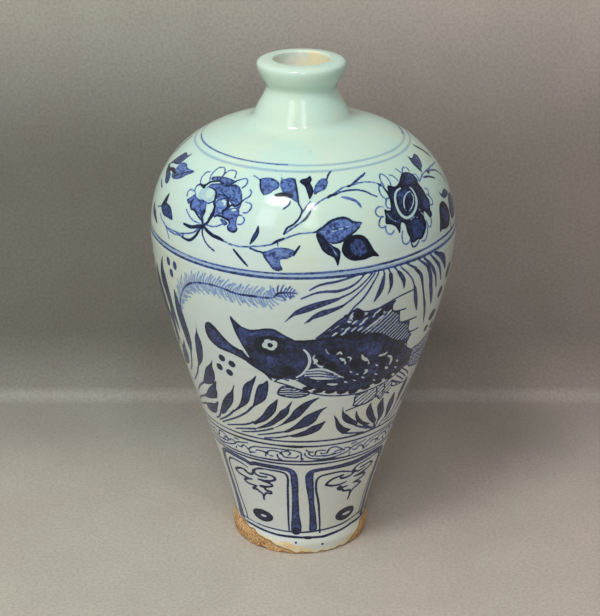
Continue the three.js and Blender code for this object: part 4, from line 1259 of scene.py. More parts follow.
SCROLL_BLOTS = ((0.6, 91.4, 1.1, 0.8), (-21.4, 95.2, 0.9, 0.9), (19.2, 94, 1.4, 0.8), (-12, 96.2, 0.7, 0.9),
    (15.4, 97, 0.6, 1.4), (34, 93.9, 1.1, 0.6))
for unit in range(SCROLLS_AROUND):
    shift = 360 / SCROLLS_AROUND * unit
    bob = SCROLL_BOB * math.sin(unit * 2.1)
    for points in SCROLL:
        stroke(moved(points, shift, bob), SCROLL_WIDTH, SCROLL_TONE, ALL_ROUND)
    for azimuth, climb, across, up in SCROLL_BLOTS:
        dot(azimuth + shift, climb + bob, across, up, DARK, ALL_ROUND)
print("scroll strokes:", SCROLLS_AROUND * len(SCROLL))

# %% The panels
BAR_TONE = 0.57
THREAD_WIDTH = 1.6
CURL_WIDTHS = (1.4, 2.0, 1.9, 1.4)
PANEL_LEFT = {"frames": [
    ((7.4, 7.2, 5.4, 4.8, 5.0, 4.2), [(-61, 19.5), (-61, 27), (-61.5, 40), (-62, 55), (-61.5, 70),
     (-60, 79)]),
    ((4.2, 3.9, 3.8, 3.6, 3.4, 3.6, 3.8, 3.8, 3.8), [(-60, 79), (-56, 82), (-48, 82.6), (-38, 81.5),
     (-34, 79.7), (-30, 81.3), (-22, 81.5), (-14, 81.3), (-9, 80.6)]),
    ((3.8, 4.2, 4.8, 5.2, 4.9, 4.6, 5.0, 5.6, 7.7, 7.4), [(-9, 80.6), (-6.4, 79), (-4.6, 75), (-4.3, 70),
     (-3.9, 62), (-3.9, 55), (-3.8, 45), (-3.8, 35), (-3.35, 25), (-3.3, 20)]),
], "threads": [
    [(-9.3, 19.6), (-9.6, 30), (-9.3, 45), (-9, 60), (-8.5, 70), (-9.2, 74.5), (-11.5, 77), (-16, 77.8),
     (-22, 77.9), (-28, 78)],
    [(-51.5, 20), (-51.5, 27), (-54.5, 40), (-55.3, 55), (-56, 68), (-55.5, 73), (-53.5, 76), (-50, 77.3),
     (-45, 77.5), (-41, 76.8), (-37, 75)],
], "curls": [
    [(-38.8, 70.8), (-41, 71.5), (-45, 70.8), (-49, 68.5), (-50, 67), (-48, 65.2), (-44, 64.3), (-38, 63.5),
     (-35.5, 64)],
    [(-37.5, 63.5), (-41, 62), (-43, 60.3), (-42, 59), (-39, 58.2), (-32.5, 58.5)],
    [(-33.5, 57.7), (-36.5, 54.7), (-33, 55), (-31, 53.5), (-28.5, 51.7), (-28.2, 46.5)],
    [(-27.8, 50), (-25.5, 53.5), (-21.8, 54), (-21.5, 55.8), (-25, 56.5), (-26.5, 58.7), (-29.5, 59.5),
     (-25, 60), (-21.5, 61), (-19.8, 62.2), (-21.5, 64), (-30, 65.8)],
    [(-30, 66), (-25, 66), (-20, 67), (-17.3, 69), (-17.8, 71), (-20.5, 72.5), (-27.5, 72.8)],
    [(-23, 70), (-27, 69.3), (-30.5, 70), (-32.3, 72), (-31.5, 74.5), (-29, 76.5), (-25, 77.5)],
    [(-41, 70.5), (-38, 69), (-35, 69), (-33.3, 71), (-33, 74)],
], "spot": ((-32.3, 30, 9.8, 5.6), (-31.3, 29.8, 3.0, 1.1))}
PANEL_RIGHT = {"frames": [
    ((5.8, 5.6, 4.7, 3.9, 4.7, 5.8, 5.9, 4.2), [(10.8, 21), (10.65, 25), (9.7, 35), (8.4, 45), (7.25, 55),
     (6.1, 65), (5.5, 74), (6.6, 77.8)]),
    ((4.2, 3.4, 3.1, 3.4, 4.2, 4.5, 4.4, 4.0, 4.0), [(6.6, 77.8), (9, 79.2), (14, 79.8), (22, 80),
     (30, 80.2), (36, 80.3), (45, 81.4), (55, 82), (63, 80.5)]),
    ((4.0, 4.4, 5.0, 4.8, 5.0, 6.5, 7.0), [(63, 80.5), (66.5, 76), (67, 66), (66.5, 50), (66.5, 38),
     (67.3, 27), (67.5, 20)]),
], "threads": [
    [(17, 17), (16.3, 25), (15, 35), (13.7, 45), (12.3, 52), (11, 58), (10.3, 65), (10.8, 70), (13, 73),
     (17, 74), (25, 74.5), (30, 73.5), (35, 71.5), (38.5, 69.5)],
    [(50, 77), (57, 78.3), (62, 77), (64, 72), (63.2, 62), (61.5, 50), (60.5, 38), (60.5, 20)],
], "curls": [
    [(29.5, 70), (27.5, 69.5), (28.3, 67.5), (31, 66.8), (35, 67.5), (38, 69.5), (36.5, 72.5)],
    [(29, 70.2), (25, 69.5), (21, 68), (17.5, 64), (19.5, 62.5), (23, 61.5), (28, 61.3), (33, 62.3)],
    [(26.8, 58), (29, 59), (29.5, 57.5), (35, 57.5)],
    [(32, 55), (32.5, 53.5), (38, 52.3), (39.2, 50.5), (39.5, 47), (38.8, 43.5)],
    [(26.8, 58), (28.5, 56), (32, 55)],
    [(39.8, 48), (41, 51), (43.5, 53), (48.3, 55.3), (46.5, 57), (41, 59)],
    [(40.5, 58.8), (49.5, 61), (50.8, 62.3), (49.5, 63.8), (40, 65)],
    [(39.5, 65), (46, 66), (52, 67.5), (56, 69.5), (55.5, 71.5), (52, 72.8), (43, 72.3)],
    [(48, 70), (43, 69), (39.5, 70), (37.8, 72), (38.5, 74.5), (42, 76.3), (50, 77.3)],
], "spot": ((39.8, 29.3, 10, 6.0), (41, 29, 4.6, 1.3))}


def panel(design, shift):
    """One panel, its drawing moved round the pot by shift degrees."""
    strokes = [(points, width, BAR_TONE, "fill") for width, points in design["frames"]]
    strokes += [(points, THREAD_WIDTH, DARK, "line") for points in design["threads"]]
    strokes += [(points, CURL_WIDTHS, DARK, "line") for points in design["curls"]]
    for points, width, tone, layer in strokes:
        stroke(moved(points, shift), width, tone, ALL_ROUND, layer)
    for (azimuth, climb, across, up), tone, layer in zip(design["spot"], (DARK, 0), ("fill", "white")):
        dot(azimuth + shift, climb, across, up, tone, ALL_ROUND, layer)


for design, shifts in ((PANEL_LEFT, (0, 141, 285)), (PANEL_RIGHT, (0, 144))):
    for shift in shifts:
        panel(design, shift)
print("panels painted")

# %% [markdown]
# Where the glaze ends
#
# The potter wiped the glaze off the foot by hand, so its edge wanders. Over it lies a strip
# where the glaze ran thin and turned cream. Both edges are distances too, like the strokes.

# %% Edges of the glaze at the foot
BARE_EDGE = ([-85, -64, -56, -45, -37, -30, -22, -14, -8, -2, 8, 20, 32, 45, 52, 58, 66, 80, 110, 150,
              190, 230, 255],
             [17.5, 16.5, 15.5, 13.5, 11.2, 9.5, 7.4, 4.4, 2.6, 1.5, 1.1, 1.0, 1.1, 1.6, 5.0, 10.0,
              14.0, 15.5, 9.0, 5.0, 4.2, 6.5, 14.0])
CREAM_EDGE = ([-85, -64, -52, -42, -33, -24, -16, -10, -5, 0, 8, 15, 25, 40, 50, 60, 90, 180, 250],
              [19.0, 17.5, 15.6, 13.6, 11.8, 10.6, 10.4, 9.8, 8.4, 6.6, 4.4, 3.2, 2.8, 3.8, 8.4, 14.4,
               12.0, 6.0, 15.5])
ripple = 0.5 * np.sin(np.radians(AZIMUTH) * 23) + 0.35 * np.sin(np.radians(AZIMUTH) * 41 + 1)
bare_gap = CLIMB - np.interp(AZIMUTH, *BARE_EDGE, period=360) - ripple
cream_gap = CLIMB - np.interp(AZIMUTH, *CREAM_EDGE, period=360) - ripple * 0.8
print("the glaze ends at, mm:", min(BARE_EDGE[1]), "to", max(BARE_EDGE[1]))

# %% Give each piece its strokes
def give(name, *columns, rest=FAR):
    """Stores up to three columns of the canvas on the painted pieces, as one attribute."""
    values = np.full((len(places), 3), rest)
    for number, column in enumerate(columns):
        values[canvas, number] = column
    start = 0
    for piece in painted:
        end = start + len(piece.data.vertices)
        attribute = piece.data.attributes.new(name, "FLOAT_VECTOR", "POINT")
        attribute.data.foreach_set("vector", values[start:end].astype(np.float32).ravel())
        start = end


give("strokes", gaps["fill"], gaps["white"], gaps["line"])
give("tones", tones["fill"], tones["line"], rest=0.0)
underside = np.where(places[:, 2:] < RING_TOP + 0.1, -FAR, FAR)
give("edges", bare_gap, cream_gap, rest=underside)
print("painted pieces:", len(painted))

# %% [markdown]
# Unrolling
#
# The painted walls also get a UV map. The skin is cut into upright strips that lie one above
# the other, so that the fine lines get most of the map, and the plain hollow gets one strip.

# %% Unroll the walls
STRIPS = 4
MARGIN = 0.012
SKIN_DEPTH = 0.06
HOLLOW_LOW = 0.1
HOLLOW_SPAN = 0.7
HOLLOW_DEPTH = 0.1


def unroll(piece, wall):
    """A UV map of STRIPS strips of the skin and one of the hollow."""
    spots = coordinates(piece)
    mesh = piece.data
    corner = np.empty(len(mesh.loops), int)
    mesh.loops.foreach_get("vertex_index", corner)
    sides = np.empty(len(mesh.polygons), int)
    mesh.polygons.foreach_get("loop_total", sides)
    face = np.repeat(np.arange(len(sides)), sides)
    turn_of = np.degrees(np.arctan2(spots[:, 0], -spots[:, 1]))[corner]
    first = turn_of[np.cumsum(sides) - sides][face]
    turn_of = first + (turn_of - first + 180) % 360 - 180
    middle = np.bincount(face, turn_of) / sides
    whole = np.floor((middle + 180) / 360)
    middle = middle + 180 - 360 * whole
    turn_of = turn_of + 180 - 360 * whole[face]
    height = spots[:, 2]
    low, high = height.min(), height.max()
    skin = np.interp(height, outline[:, 1], outline[:, 0])
    depth = ((skin - np.hypot(spots[:, 0], spots[:, 1])) / wall)[corner]
    is_skin = (np.bincount(face, depth) / sides < SKIN_DEPTH)[face]
    strip = np.floor(middle / (360 / STRIPS))[face]
    across = np.where(is_skin, turn_of / (360 / STRIPS) - strip, turn_of / 360)
    up = ((height - low) / (high - low))[corner]
    up = np.where(is_skin, up, HOLLOW_LOW + HOLLOW_SPAN * up + HOLLOW_DEPTH * depth)
    row = np.where(is_skin, strip, STRIPS)
    u = MARGIN + across * (1 - 2 * MARGIN)
    v = (row + MARGIN + up * (1 - 2 * MARGIN)) / (STRIPS + 1)
    layer = mesh.uv_layers.new(name="OFBake")
    layer.data.foreach_set("uv", np.column_stack([u, v]).astype(np.float32).ravel())


for wall_name, (low, high, thickness) in WALLS.items():
    unroll(pieces[wall_name], thickness)
for piece in pieces.values():
    lean(piece)
print("walls unrolled")

# %% What each piece stands for
STANDS_FOR = {
    "foot_and_base": ("foot_ring", "slip_foot", "base_disc"),
    "lower_body": ("slip_base", "lower_wall", "slip_lower"),
    "middle_body_low": ("middle_wall",),
    "middle_body_high": ("middle_wall", "slip_belly"),
    "shoulder_painted": ("shoulder",),
    "neck_plain": ("shoulder", "slip_neck", "neck"),
    "mouth_lip": ("mouth_rim",),
}
for name, piece in pieces.items():
    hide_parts(*STANDS_FOR[name])
print("CAD nodes stood for:", len({node for nodes in STANDS_FOR.values() for node in nodes}))

# %% [markdown]
# Shader helpers
#
# A glaze is a tree of small nodes. These helpers add one node each and join it up, so that a
# recipe below reads as one line for each step.

# %% Nodes for numbers
def put(tree, kind, inputs=None, **settings):
    """Adds a node. inputs maps a socket to a value, or to the socket that feeds it."""
    node = tree.nodes.new(kind)
    for name, value in settings.items():
        setattr(node, name, value)
    for socket, value in (inputs or {}).items():
        if isinstance(value, bpy.types.NodeSocket):
            tree.links.new(value, node.inputs[socket])
        else:
            node.inputs[socket].default_value = value
    return node


def calc(tree, operation, *values):
    """One step of arithmetic."""
    return put(tree, "ShaderNodeMath", dict(enumerate(values)), operation=operation).outputs[0]


def step(tree, value, start, end, low=0.0, high=1.0):
    """Goes softly from low to high while value goes from start to end."""
    if start > end:
        start, end, low, high = end, start, high, low
    sockets = {"Value": value, "From Min": start, "From Max": end, "To Min": low, "To Max": high}
    return put(tree, "ShaderNodeMapRange", sockets, interpolation_type="SMOOTHSTEP").outputs[0]


def noise(tree, place, size, detail=2.0, roughness=0.5):
    """Soft noise whose lumps are about size mm across."""
    sockets = {"Vector": place, "Scale": 1 / (size * MM), "Detail": detail, "Roughness": roughness}
    return put(tree, "ShaderNodeTexNoise", sockets).outputs["Fac"]


# %% Nodes for colours
def mix(tree, share, first, second, blend="MIX"):
    """Mixes two colours."""
    sockets = {0: share, 6: first, 7: second}
    return put(tree, "ShaderNodeMix", sockets, data_type="RGBA", blend_type=blend).outputs[2]


def tinted(tree, colour, tints):
    """Lays tints over a colour, each as far as its source has gone from start to end."""
    for source, start, end, most, tint in tints:
        colour = mix(tree, step(tree, source, start, end, 0.0, most), colour, tint)
    return colour


def group(name, ins, outs):
    """An empty node group with named float, vector or colour sockets."""
    kinds = {"f": "NodeSocketFloat", "v": "NodeSocketVector", "c": "NodeSocketColor"}
    tree = bpy.data.node_groups.new(name, "ShaderNodeTree")
    for label, kind in ins:
        tree.interface.new_socket(label, in_out="INPUT", socket_type=kinds[kind])
    for label, kind in outs:
        tree.interface.new_socket(label, in_out="OUTPUT", socket_type=kinds[kind])
    return tree, tree.nodes.new("NodeGroupInput").outputs, tree.nodes.new("NodeGroupOutput").inputs


def srgb(red, green, blue):
    """A colour as a paint chart gives it, from 0 to 255, made linear."""
    parts = [part / 255 for part in (red, green, blue)]
    return (*(p / 12.92 if p <= 0.04045 else ((p + 0.055) / 1.055) ** 2.4 for p in parts), 1)


print("middle grey made linear:", round(srgb(128, 128, 128)[0], 3))

# %% [markdown]
# Cobalt under the glaze
#
# Cobalt laid on thin gives a clear blue. Laid on thick it turns nearly black, and in the kiln it
# gathers into dark spots. Its edges bleed a little into the glaze. This group turns the gaps and
# the tones of the strokes into the thickness of the cobalt.

# %% The cobalt group
EDGE_SOFTNESS = 0.24
cobalt_tree, cobalt_in, cobalt_out = group(
    "cobalt",
    [("Place", "v"), ("Fill Gap", "f"), ("White Gap", "f"), ("Line Gap", "f"), ("Fill Tone", "f"),
     ("Line Tone", "f")],
    [("Thickness", "f"), ("Heaped", "f")])
tree = cobalt_tree
rough_edge = calc(tree, "MULTIPLY_ADD", noise(tree, cobalt_in["Place"], 1.6, 3), 0.5, -0.25)
covers = {}
for layer in ("Fill", "White", "Line"):
    gap = calc(tree, "ADD", cobalt_in[layer + " Gap"], rough_edge)
    covers[layer] = step(tree, gap, EDGE_SOFTNESS, -EDGE_SOFTNESS)
streaks = noise(tree, cobalt_in["Place"], 5.5, 3, 0.6)
grain = noise(tree, cobalt_in["Place"], 2.4, 3, 0.7)
pooled = step(tree, cobalt_in["Fill Gap"], -1.6, -0.2, 1.0, 1.45)
uneven = calc(tree, "MULTIPLY_ADD", streaks, 0.95, calc(tree, "MULTIPLY_ADD", grain, 0.75, 0.12))
fill_tone = calc(tree, "MULTIPLY", calc(tree, "MULTIPLY", cobalt_in["Fill Tone"], pooled), uneven)
line_tone = calc(tree, "MULTIPLY", cobalt_in["Line Tone"], calc(tree, "MULTIPLY_ADD", grain, 0.7, 0.66))
filled = calc(tree, "MULTIPLY", covers["Fill"], calc(tree, "SUBTRACT", 1.0, covers["White"]))
body = calc(tree, "MAXIMUM", calc(tree, "MULTIPLY", filled, fill_tone),
            calc(tree, "MULTIPLY", covers["Line"], line_tone))
nearest = calc(tree, "MINIMUM", cobalt_in["Fill Gap"], cobalt_in["Line Gap"])
bleed = step(tree, nearest, 1.5, -0.1, 0.0, 0.05)
thick = calc(tree, "ADD", body, bleed)
spots = step(tree, noise(tree, cobalt_in["Place"], 2.8, 3, 0.7), 0.48, 0.62)
wash_heaps = step(tree, body, 0.16, 0.36, 0.0, 0.4)
not_dark = step(tree, body, 0.46, 0.62, 1.0, 0.3)
heaps = calc(tree, "MULTIPLY", spots, calc(tree, "MULTIPLY", wash_heaps, not_dark))
tree.links.new(calc(tree, "ADD", thick, heaps), cobalt_out["Thickness"])
tree.links.new(heaps, cobalt_out["Heaped"])
print("cobalt nodes:", len(tree.nodes))

# %% [markdown]
# The glaze
#
# The clear glaze is faintly green where it is thick, and greyer towards the foot. It has pale
# clouds, tiny pinholes and specks of iron, and it ripples a little, so that reflections waver.

# %% The glaze group
GLAZE_TOP = srgb(196, 228, 214)
GLAZE_MIDDLE = srgb(211, 228, 222)
GLAZE_LOW = srgb(224, 229, 225)
glaze_tree, glaze_in, glaze_out = group(
    "glaze", [("Place", "v"), ("Height", "f")],
    [("Colour", "c"), ("Roughness", "f"), ("Relief", "f")])
tree = glaze_tree
clouds = noise(tree, glaze_in["Place"], 60, 3, 0.55)
mottle = noise(tree, glaze_in["Place"], 9, 3, 0.6)
fine = noise(tree, glaze_in["Place"], 1.1, 2, 0.6)
drift = calc(tree, "MULTIPLY_ADD", calc(tree, "SUBTRACT", clouds, 0.5), 0.09, glaze_in["Height"])
tint = tinted(tree, GLAZE_LOW, (
    (drift, 0.10, 0.225, 1.0, GLAZE_MIDDLE),
    (drift, 0.225, 0.305, 1.0, GLAZE_TOP),
    (mottle, 0.35, 0.75, 0.12, srgb(190, 214, 214)),
    (clouds, 0.42, 0.66, 0.3, srgb(226, 226, 190)),
    (fine, 0.45, 0.75, 0.08, srgb(150, 170, 160)),
))
cells = put(tree, "ShaderNodeTexVoronoi", {"Vector": glaze_in["Place"], "Scale": 130.0})
lottery = put(tree, "ShaderNodeSeparateColor", {0: cells.outputs["Color"]})
chosen = step(tree, lottery.outputs[0], 0.9, 0.93)
pin = calc(tree, "MULTIPLY", chosen, step(tree, cells.outputs["Distance"], 0.075, 0.03))
rusty = step(tree, lottery.outputs[1], 0.4, 0.6)
speck_colour = mix(tree, rusty, srgb(120, 95, 66), srgb(120, 135, 128))
tint = mix(tree, calc(tree, "MULTIPLY", pin, 0.7), tint, speck_colour)
tree.links.new(tint, glaze_out["Colour"])
haze = calc(tree, "MULTIPLY_ADD", mottle, 0.08, 0.06)
tree.links.new(calc(tree, "MULTIPLY_ADD", fine, 0.05, haze), glaze_out["Roughness"])
ripple_height = calc(tree, "MULTIPLY_ADD", noise(tree, glaze_in["Place"], 14, 2), 0.8,
                     calc(tree, "MULTIPLY", noise(tree, glaze_in["Place"], 3, 2), 0.12))
tree.links.new(calc(tree, "MULTIPLY_ADD", pin, -0.5, ripple_height), glaze_out["Relief"])
print("glaze nodes:", len(tree.nodes))

# %% [markdown]
# The painted glaze
#
# The cobalt lies under the glaze and takes light out of it, so the two colours multiply. The
# ramp goes from bare glaze through clear blue to the near-black of heaped cobalt.

# %% Parts that the glazes share
COBALT_RAMP = ((0.0, (1, 1, 1)), (0.1, (0.78, 0.84, 0.93)), (0.2, (0.53, 0.62, 0.88)),
               (0.36, (0.19, 0.26, 0.72)), (0.58, (0.068, 0.095, 0.33)), (0.82, (0.024, 0.032, 0.088)),
               (1.0, (0.009, 0.012, 0.032)))
GLAZE_RELIEF = 0.16


def new_material(name):
    """A material with its tree, its shader and the place on the piece."""
    material = bpy.data.materials.new(name)
    material.use_nodes = True
    tree = material.node_tree
    shader = tree.nodes["Principled BSDF"]
    place = put(tree, "ShaderNodeTexCoord").outputs["Object"]
    return material, tree, shader, place


def attribute(tree, name):
    """The three numbers of an attribute."""
    read = put(tree, "ShaderNodeAttribute", attribute_name=name)
    return put(tree, "ShaderNodeSeparateXYZ", {0: read.outputs["Vector"]}).outputs


def clear_glaze(tree, place):
    """The colour, the roughness and the relief of the glaze at a place."""
    node = tree.nodes.new("ShaderNodeGroup")
    node.node_tree = glaze_tree
    tree.links.new(place, node.inputs["Place"])
    tree.links.new(put(tree, "ShaderNodeSeparateXYZ", {0: place}).outputs[2], node.inputs["Height"])
    return node.outputs


def cobalt_at(tree, place):
    """The thickness of the cobalt at a place, and where it is heaped."""
    node = tree.nodes.new("ShaderNodeGroup")
    node.node_tree = cobalt_tree
    strokes = attribute(tree, "strokes")
    tone = attribute(tree, "tones")
    for socket, source in (("Place", place), ("Fill Gap", strokes[0]), ("White Gap", strokes[1]),
                           ("Line Gap", strokes[2]), ("Fill Tone", tone[0]), ("Line Tone", tone[1])):
        tree.links.new(source, node.inputs[socket])
    return node.outputs


def cobalt_colour(tree, thickness):
    """The colour that cobalt of a thickness gives to white."""
    ramp = put(tree, "ShaderNodeValToRGB", {0: thickness})
    stops = ramp.color_ramp.elements
    for position, _ in COBALT_RAMP[1:-1]:
        stops.new(position)
    for stop, (position, colour) in zip(stops, COBALT_RAMP):
        stop.position = position
        stop.color = (*colour, 1)
    return ramp.outputs["Color"]


def relief(tree, shader, height, depth_mm=GLAZE_RELIEF):
    """Makes the surface rise and sink with height, by up to depth_mm."""
    bump = put(tree, "ShaderNodeBump", {"Height": height, "Distance": depth_mm * MM, "Strength": 1.0})
    tree.links.new(bump.outputs[0], shader.inputs["Normal"])


print("stops of the cobalt ramp:", len(COBALT_RAMP))

# %% The painted glaze
painted_glaze, tree, shader, place = new_material("painted_glaze")
clear = clear_glaze(tree, place)
cobalt = cobalt_at(tree, place)
colour = mix(tree, 1.0, clear["Colour"], cobalt_colour(tree, cobalt["Thickness"]), "MULTIPLY")
tree.links.new(colour, shader.inputs["Base Color"])
dull = calc(tree, "MULTIPLY_ADD", cobalt["Heaped"], 0.5, clear["Roughness"])
tree.links.new(dull, shader.inputs["Roughness"])
relief(tree, shader, clear["Relief"])
print("painted glaze nodes:", len(tree.nodes))

# %% The plain glaze of the neck and the mouth
plain_glaze, tree, shader, place = new_material("plain_glaze")
clear = clear_glaze(tree, place)
axis = put(tree, "ShaderNodeVectorMath", {0: place, 1: (1, 1, 0)}, operation="MULTIPLY").outputs[0]
off_axis = put(tree, "ShaderNodeVectorMath", {0: axis, 1: (-0.001, 0, 0)}, operation="ADD").outputs[0]
from_axis = put(tree, "ShaderNodeVectorMath", {0: off_axis}, operation="LENGTH").outputs["Value"]
crust_edge = calc(tree, "MULTIPLY_ADD", noise(tree, place, 7, 3, 0.6), -0.004, from_axis)
crust = step(tree, crust_edge, 0.0190, 0.0168)
sideways = put(tree, "ShaderNodeSeparateXYZ", {0: place}).outputs[0]
stained = calc(tree, "MULTIPLY_ADD", noise(tree, place, 9, 3, 0.6), 0.02, sideways)
tinge = mix(tree, step(tree, stained, 0.006, 0.02), srgb(232, 236, 224), srgb(238, 226, 186))
coated = mix(tree, crust, clear["Colour"], tinge)
tree.links.new(coated, shader.inputs["Base Color"])
tree.links.new(clear["Roughness"], shader.inputs["Roughness"])
relief(tree, shader, clear["Relief"])
print("plain glaze nodes:", len(tree.nodes))

# %% [markdown]
# The foot
#
# Where the clay is bare it fired to a sandy orange brown, darker along the very edge. The cream
# strip between it and the glaze is a thin skin of glaze.

# %% The foot's clay and glaze
foot_clay, tree, shader, place = new_material("foot_clay_and_glaze")
clear = clear_glaze(tree, place)
cobalt = cobalt_at(tree, place)
edge = attribute(tree, "edges")
glazed = mix(tree, 1.0, clear["Colour"], cobalt_colour(tree, cobalt["Thickness"]), "MULTIPLY")
sand = noise(tree, place, 1.6, 4, 0.7)
patch = noise(tree, place, 12, 3, 0.6)
clay = tinted(tree, srgb(222, 178, 120), (
    (patch, 0.35, 0.7, 1.0, srgb(190, 140, 90)),
    (sand, 0.54, 0.62, 0.8, srgb(104, 72, 48)),
    (sand, 0.44, 0.36, 0.8, srgb(255, 236, 196)),
))
cream = tinted(tree, srgb(242, 232, 200), ((patch, 0.42, 0.6, 1.0, srgb(238, 212, 158)),))
bare_edge = calc(tree, "MULTIPLY_ADD", sand, 1.6, calc(tree, "SUBTRACT", edge[0], 0.8))
cream_edge = calc(tree, "MULTIPLY_ADD", sand, 1.2, calc(tree, "SUBTRACT", edge[1], 0.6))
is_bare = step(tree, bare_edge, 0.25, -0.25)
is_cream = step(tree, cream_edge, 0.9, -0.6)
colour = mix(tree, is_cream, glazed, cream)
colour = mix(tree, is_bare, colour, clay)
dark_line = step(tree, calc(tree, "ABSOLUTE", bare_edge), 0.9, 0.2, 0.0, 0.75)
colour = mix(tree, dark_line, colour, srgb(92, 62, 40))
tree.links.new(colour, shader.inputs["Base Color"])
matt = mix(tree, is_bare, clear["Roughness"], (0.85, 0.85, 0.85, 1))
tree.links.new(matt, shader.inputs["Roughness"])
gritty = calc(tree, "MULTIPLY", calc(tree, "MULTIPLY", sand, is_bare), 1.6)
relief(tree, shader, calc(tree, "ADD", clear["Relief"], gritty))
print("foot nodes:", len(tree.nodes))

# %% Glaze the pieces
MATERIALS = {"neck_plain": plain_glaze, "mouth_lip": plain_glaze, "foot_and_base": foot_clay}
for name, piece in pieces.items():
    piece.data.materials.append(MATERIALS.get(name, painted_glaze))
print("glazed:", len(pieces), "pieces")

# %% [markdown]
# The camera
#
# It stands nearly a metre and a half off and looks down at the vase, with a long lens.

# %% Camera
LENS = 108.9
SENSOR = 36
CAMERA_PLACE = (0, -1.2501, 0.6935)
CAMERA_TILT = 67.51
camera_data = bpy.data.cameras.new("camera")
camera_data.lens = LENS
camera_data.sensor_width = SENSOR
camera = bpy.data.objects.new("camera", camera_data)
camera.location = CAMERA_PLACE
camera.rotation_euler = (math.radians(CAMERA_TILT), 0, 0)
bpy.context.scene.collection.objects.link(camera)
bpy.context.scene.camera = camera
print("camera to the axis, m:", -CAMERA_PLACE[1])

# %% [markdown]
# The floor and the backdrop
#
# One wide sheet of card lies under the vase and folds up close behind it. Its colour carries
# painted light and shade: it is lighter towards the front of the floor and greyer where it stands
# up, with a painted shadow just above the floor and painted light higher up and on the right.
# Seen from behind it is clear, so that the vase shows from every side.

# %% The sheet of card
SHEET_HALF = 3.0
FOLD = 0.22
FOLD_RADIUS = 0.012
FOLD_STEPS = 8
sheet_mesh = bmesh.new()
side_line = [(-SHEET_HALF, 0)]
for number in range(FOLD_STEPS + 1):
    angle = math.pi / 2 * number / FOLD_STEPS
    side_line.append((FOLD - FOLD_RADIUS * (1 - math.sin(angle)), FOLD_RADIUS * (1 - math.cos(angle))))
side_line.append((FOLD, SHEET_HALF))
side_verts = [sheet_mesh.verts.new((-SHEET_HALF, y, z)) for y, z in side_line]
side_edges = [sheet_mesh.edges.new(pair) for pair in zip(side_verts, side_verts[1:])]
drawn = bmesh.ops.extrude_edge_only(sheet_mesh, edges=side_edges)["geom"]
drawn = [part for part in drawn if isinstance(part, bmesh.types.BMVert)]
bmesh.ops.translate(sheet_mesh, vec=(2 * SHEET_HALF, 0, 0), verts=drawn)
sheet_mesh.normal_update()
if sheet_mesh.faces[:][0].normal.z < 0:
    bmesh.ops.reverse_faces(sheet_mesh, faces=sheet_mesh.faces)
for face in sheet_mesh.faces:
    face.smooth = True
sheet_data = bpy.data.meshes.new("floor")
sheet_mesh.to_mesh(sheet_data)
sheet_mesh.free()
sheet = bpy.data.objects.new("floor", sheet_data)
bpy.context.scene.collection.objects.link(sheet)
sheet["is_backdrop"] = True

print("sheet faces:", len(sheet_data.polygons))

# %% The finish of the card, with its painted light and shade
CARD_RELIEF = 0.2
card, tree, shader, place = new_material("card")
cloudy = noise(tree, place, 90, 3, 0.6)
fibre = noise(tree, place, 2.5, 3, 0.7)
across, deep, up = put(tree, "ShaderNodeSeparateXYZ", {0: place}).outputs
right_side = step(tree, across, -0.15, 0.2)
paper = mix(tree, right_side, srgb(188, 186, 173), srgb(194, 181, 172))
paper = tinted(tree, paper, (
    (cloudy, 0.3, 0.7, 0.6, srgb(176, 170, 159)),
    (fibre, 0.35, 0.7, 0.5, srgb(152, 145, 135)),
))
# Painted light and shade: lighter towards the front of the floor, a painted shadow low on the standing
# part, painted light higher up and on its right
painted_light_to_front = step(tree, deep, 0.22, 0.03, 0.76, 1.1)
painted_fold_shadow = step(tree, up, 0.0, 0.07, 0.0, -0.35)
painted_upper_light = step(tree, up, 0.2, 0.4, 0.0, 0.55)
painted_shade = calc(tree, "ADD", painted_light_to_front, calc(tree, "ADD", painted_fold_shadow, painted_upper_light))
painted_right_light = calc(tree, "MULTIPLY", right_side, step(tree, up, 0.0, 0.08, 0.06, 0.1))
painted_shade = calc(tree, "ADD", painted_shade, painted_right_light)
painted_shade = put(tree, "ShaderNodeCombineXYZ", {0: painted_shade, 1: painted_shade, 2: painted_shade}).outputs[0]
tree.links.new(mix(tree, 1.0, paper, painted_shade, "MULTIPLY"), shader.inputs["Base Color"])
tree.links.new(calc(tree, "MULTIPLY_ADD", fibre, 0.15, 0.5), shader.inputs["Roughness"])
relief(tree, shader, fibre, CARD_RELIEF)
camera_ray = put(tree, "ShaderNodeLightPath").outputs["Is Camera Ray"]
from_behind = calc(tree, "MULTIPLY", camera_ray, put(tree, "ShaderNodeNewGeometry").outputs["Backfacing"])
clear_card = put(tree, "ShaderNodeBsdfTransparent").outputs[0]
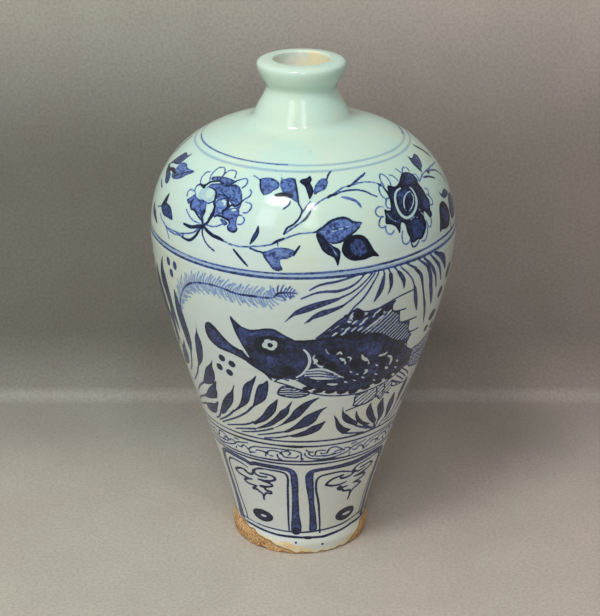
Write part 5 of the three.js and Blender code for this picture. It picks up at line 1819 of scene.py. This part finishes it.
seen = put(tree, "ShaderNodeMixShader", {0: from_behind, 1: shader.outputs[0], 2: clear_card}).outputs[0]
tree.links.new(seen, tree.nodes["Material Output"].inputs[0])
sheet_data.materials.append(card)
print("card nodes:", len(tree.nodes))

# %% [markdown]
# The lights
#
# A wide soft light stands high on the left, and isn't mirrored in the glaze. A window beside it
# gives the highlight on the shoulder, a small lamp by the camera gives the second one, and two
# dim upright strips under them give the long glints on the neck. A pale room fills the shadows.

# %% Lights
AIM_HEIGHT = 0.3
ROOM_LIGHT = 0.27


def soft_box(name, azimuth, elevation, distance, width, height, power):
    """A rectangular lamp that faces the shoulder of the vase."""
    data = bpy.data.lights.new(name, "AREA")
    data.shape = "RECTANGLE"
    data.size = width
    data.size_y = height
    data.energy = power
    a, e = math.radians(azimuth), math.radians(elevation)
    way = Vector((math.sin(a) * math.cos(e), -math.cos(a) * math.cos(e), math.sin(e)))
    lamp = bpy.data.objects.new(name, data)
    lamp.location = Vector((0, 0, AIM_HEIGHT)) + distance * way
    lamp.rotation_euler = way.to_track_quat("Z", "Y").to_euler()
    bpy.context.scene.collection.objects.link(lamp)
    return lamp


# name, azimuth, elevation, distance, width, height, power
LIGHTS = (
    ("key_light", -40, 44, 1.8, 2.2, 1.4, 14.6),
    ("window", -27, 54, 1.6, 0.36, 0.23, 8.0),
    ("small_light", 9, 48.5, 1.6, 0.17, 0.17, 2.2),
    ("left_strip", -30, 34, 1.6, 0.36, 0.55, 1.7),
    ("right_strip", 6, 34, 1.6, 0.26, 0.5, 1.4),
)
lamps = [soft_box(*row) for row in LIGHTS]
lamps[0].visible_glossy = False
world = bpy.data.worlds.new("studio")
bpy.context.scene.world = world
world.use_nodes = True
world.node_tree.nodes["Background"].inputs["Color"].default_value = (1, 1, 1, 1)
world.node_tree.nodes["Background"].inputs["Strength"].default_value = ROOM_LIGHT
bpy.context.scene.view_settings.view_transform = "Standard"
print("lamps:", len(lamps))

# %% The size of the vase
low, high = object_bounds()
print("visual box, mm:", [round(side / MM, 1) for side in high - low])
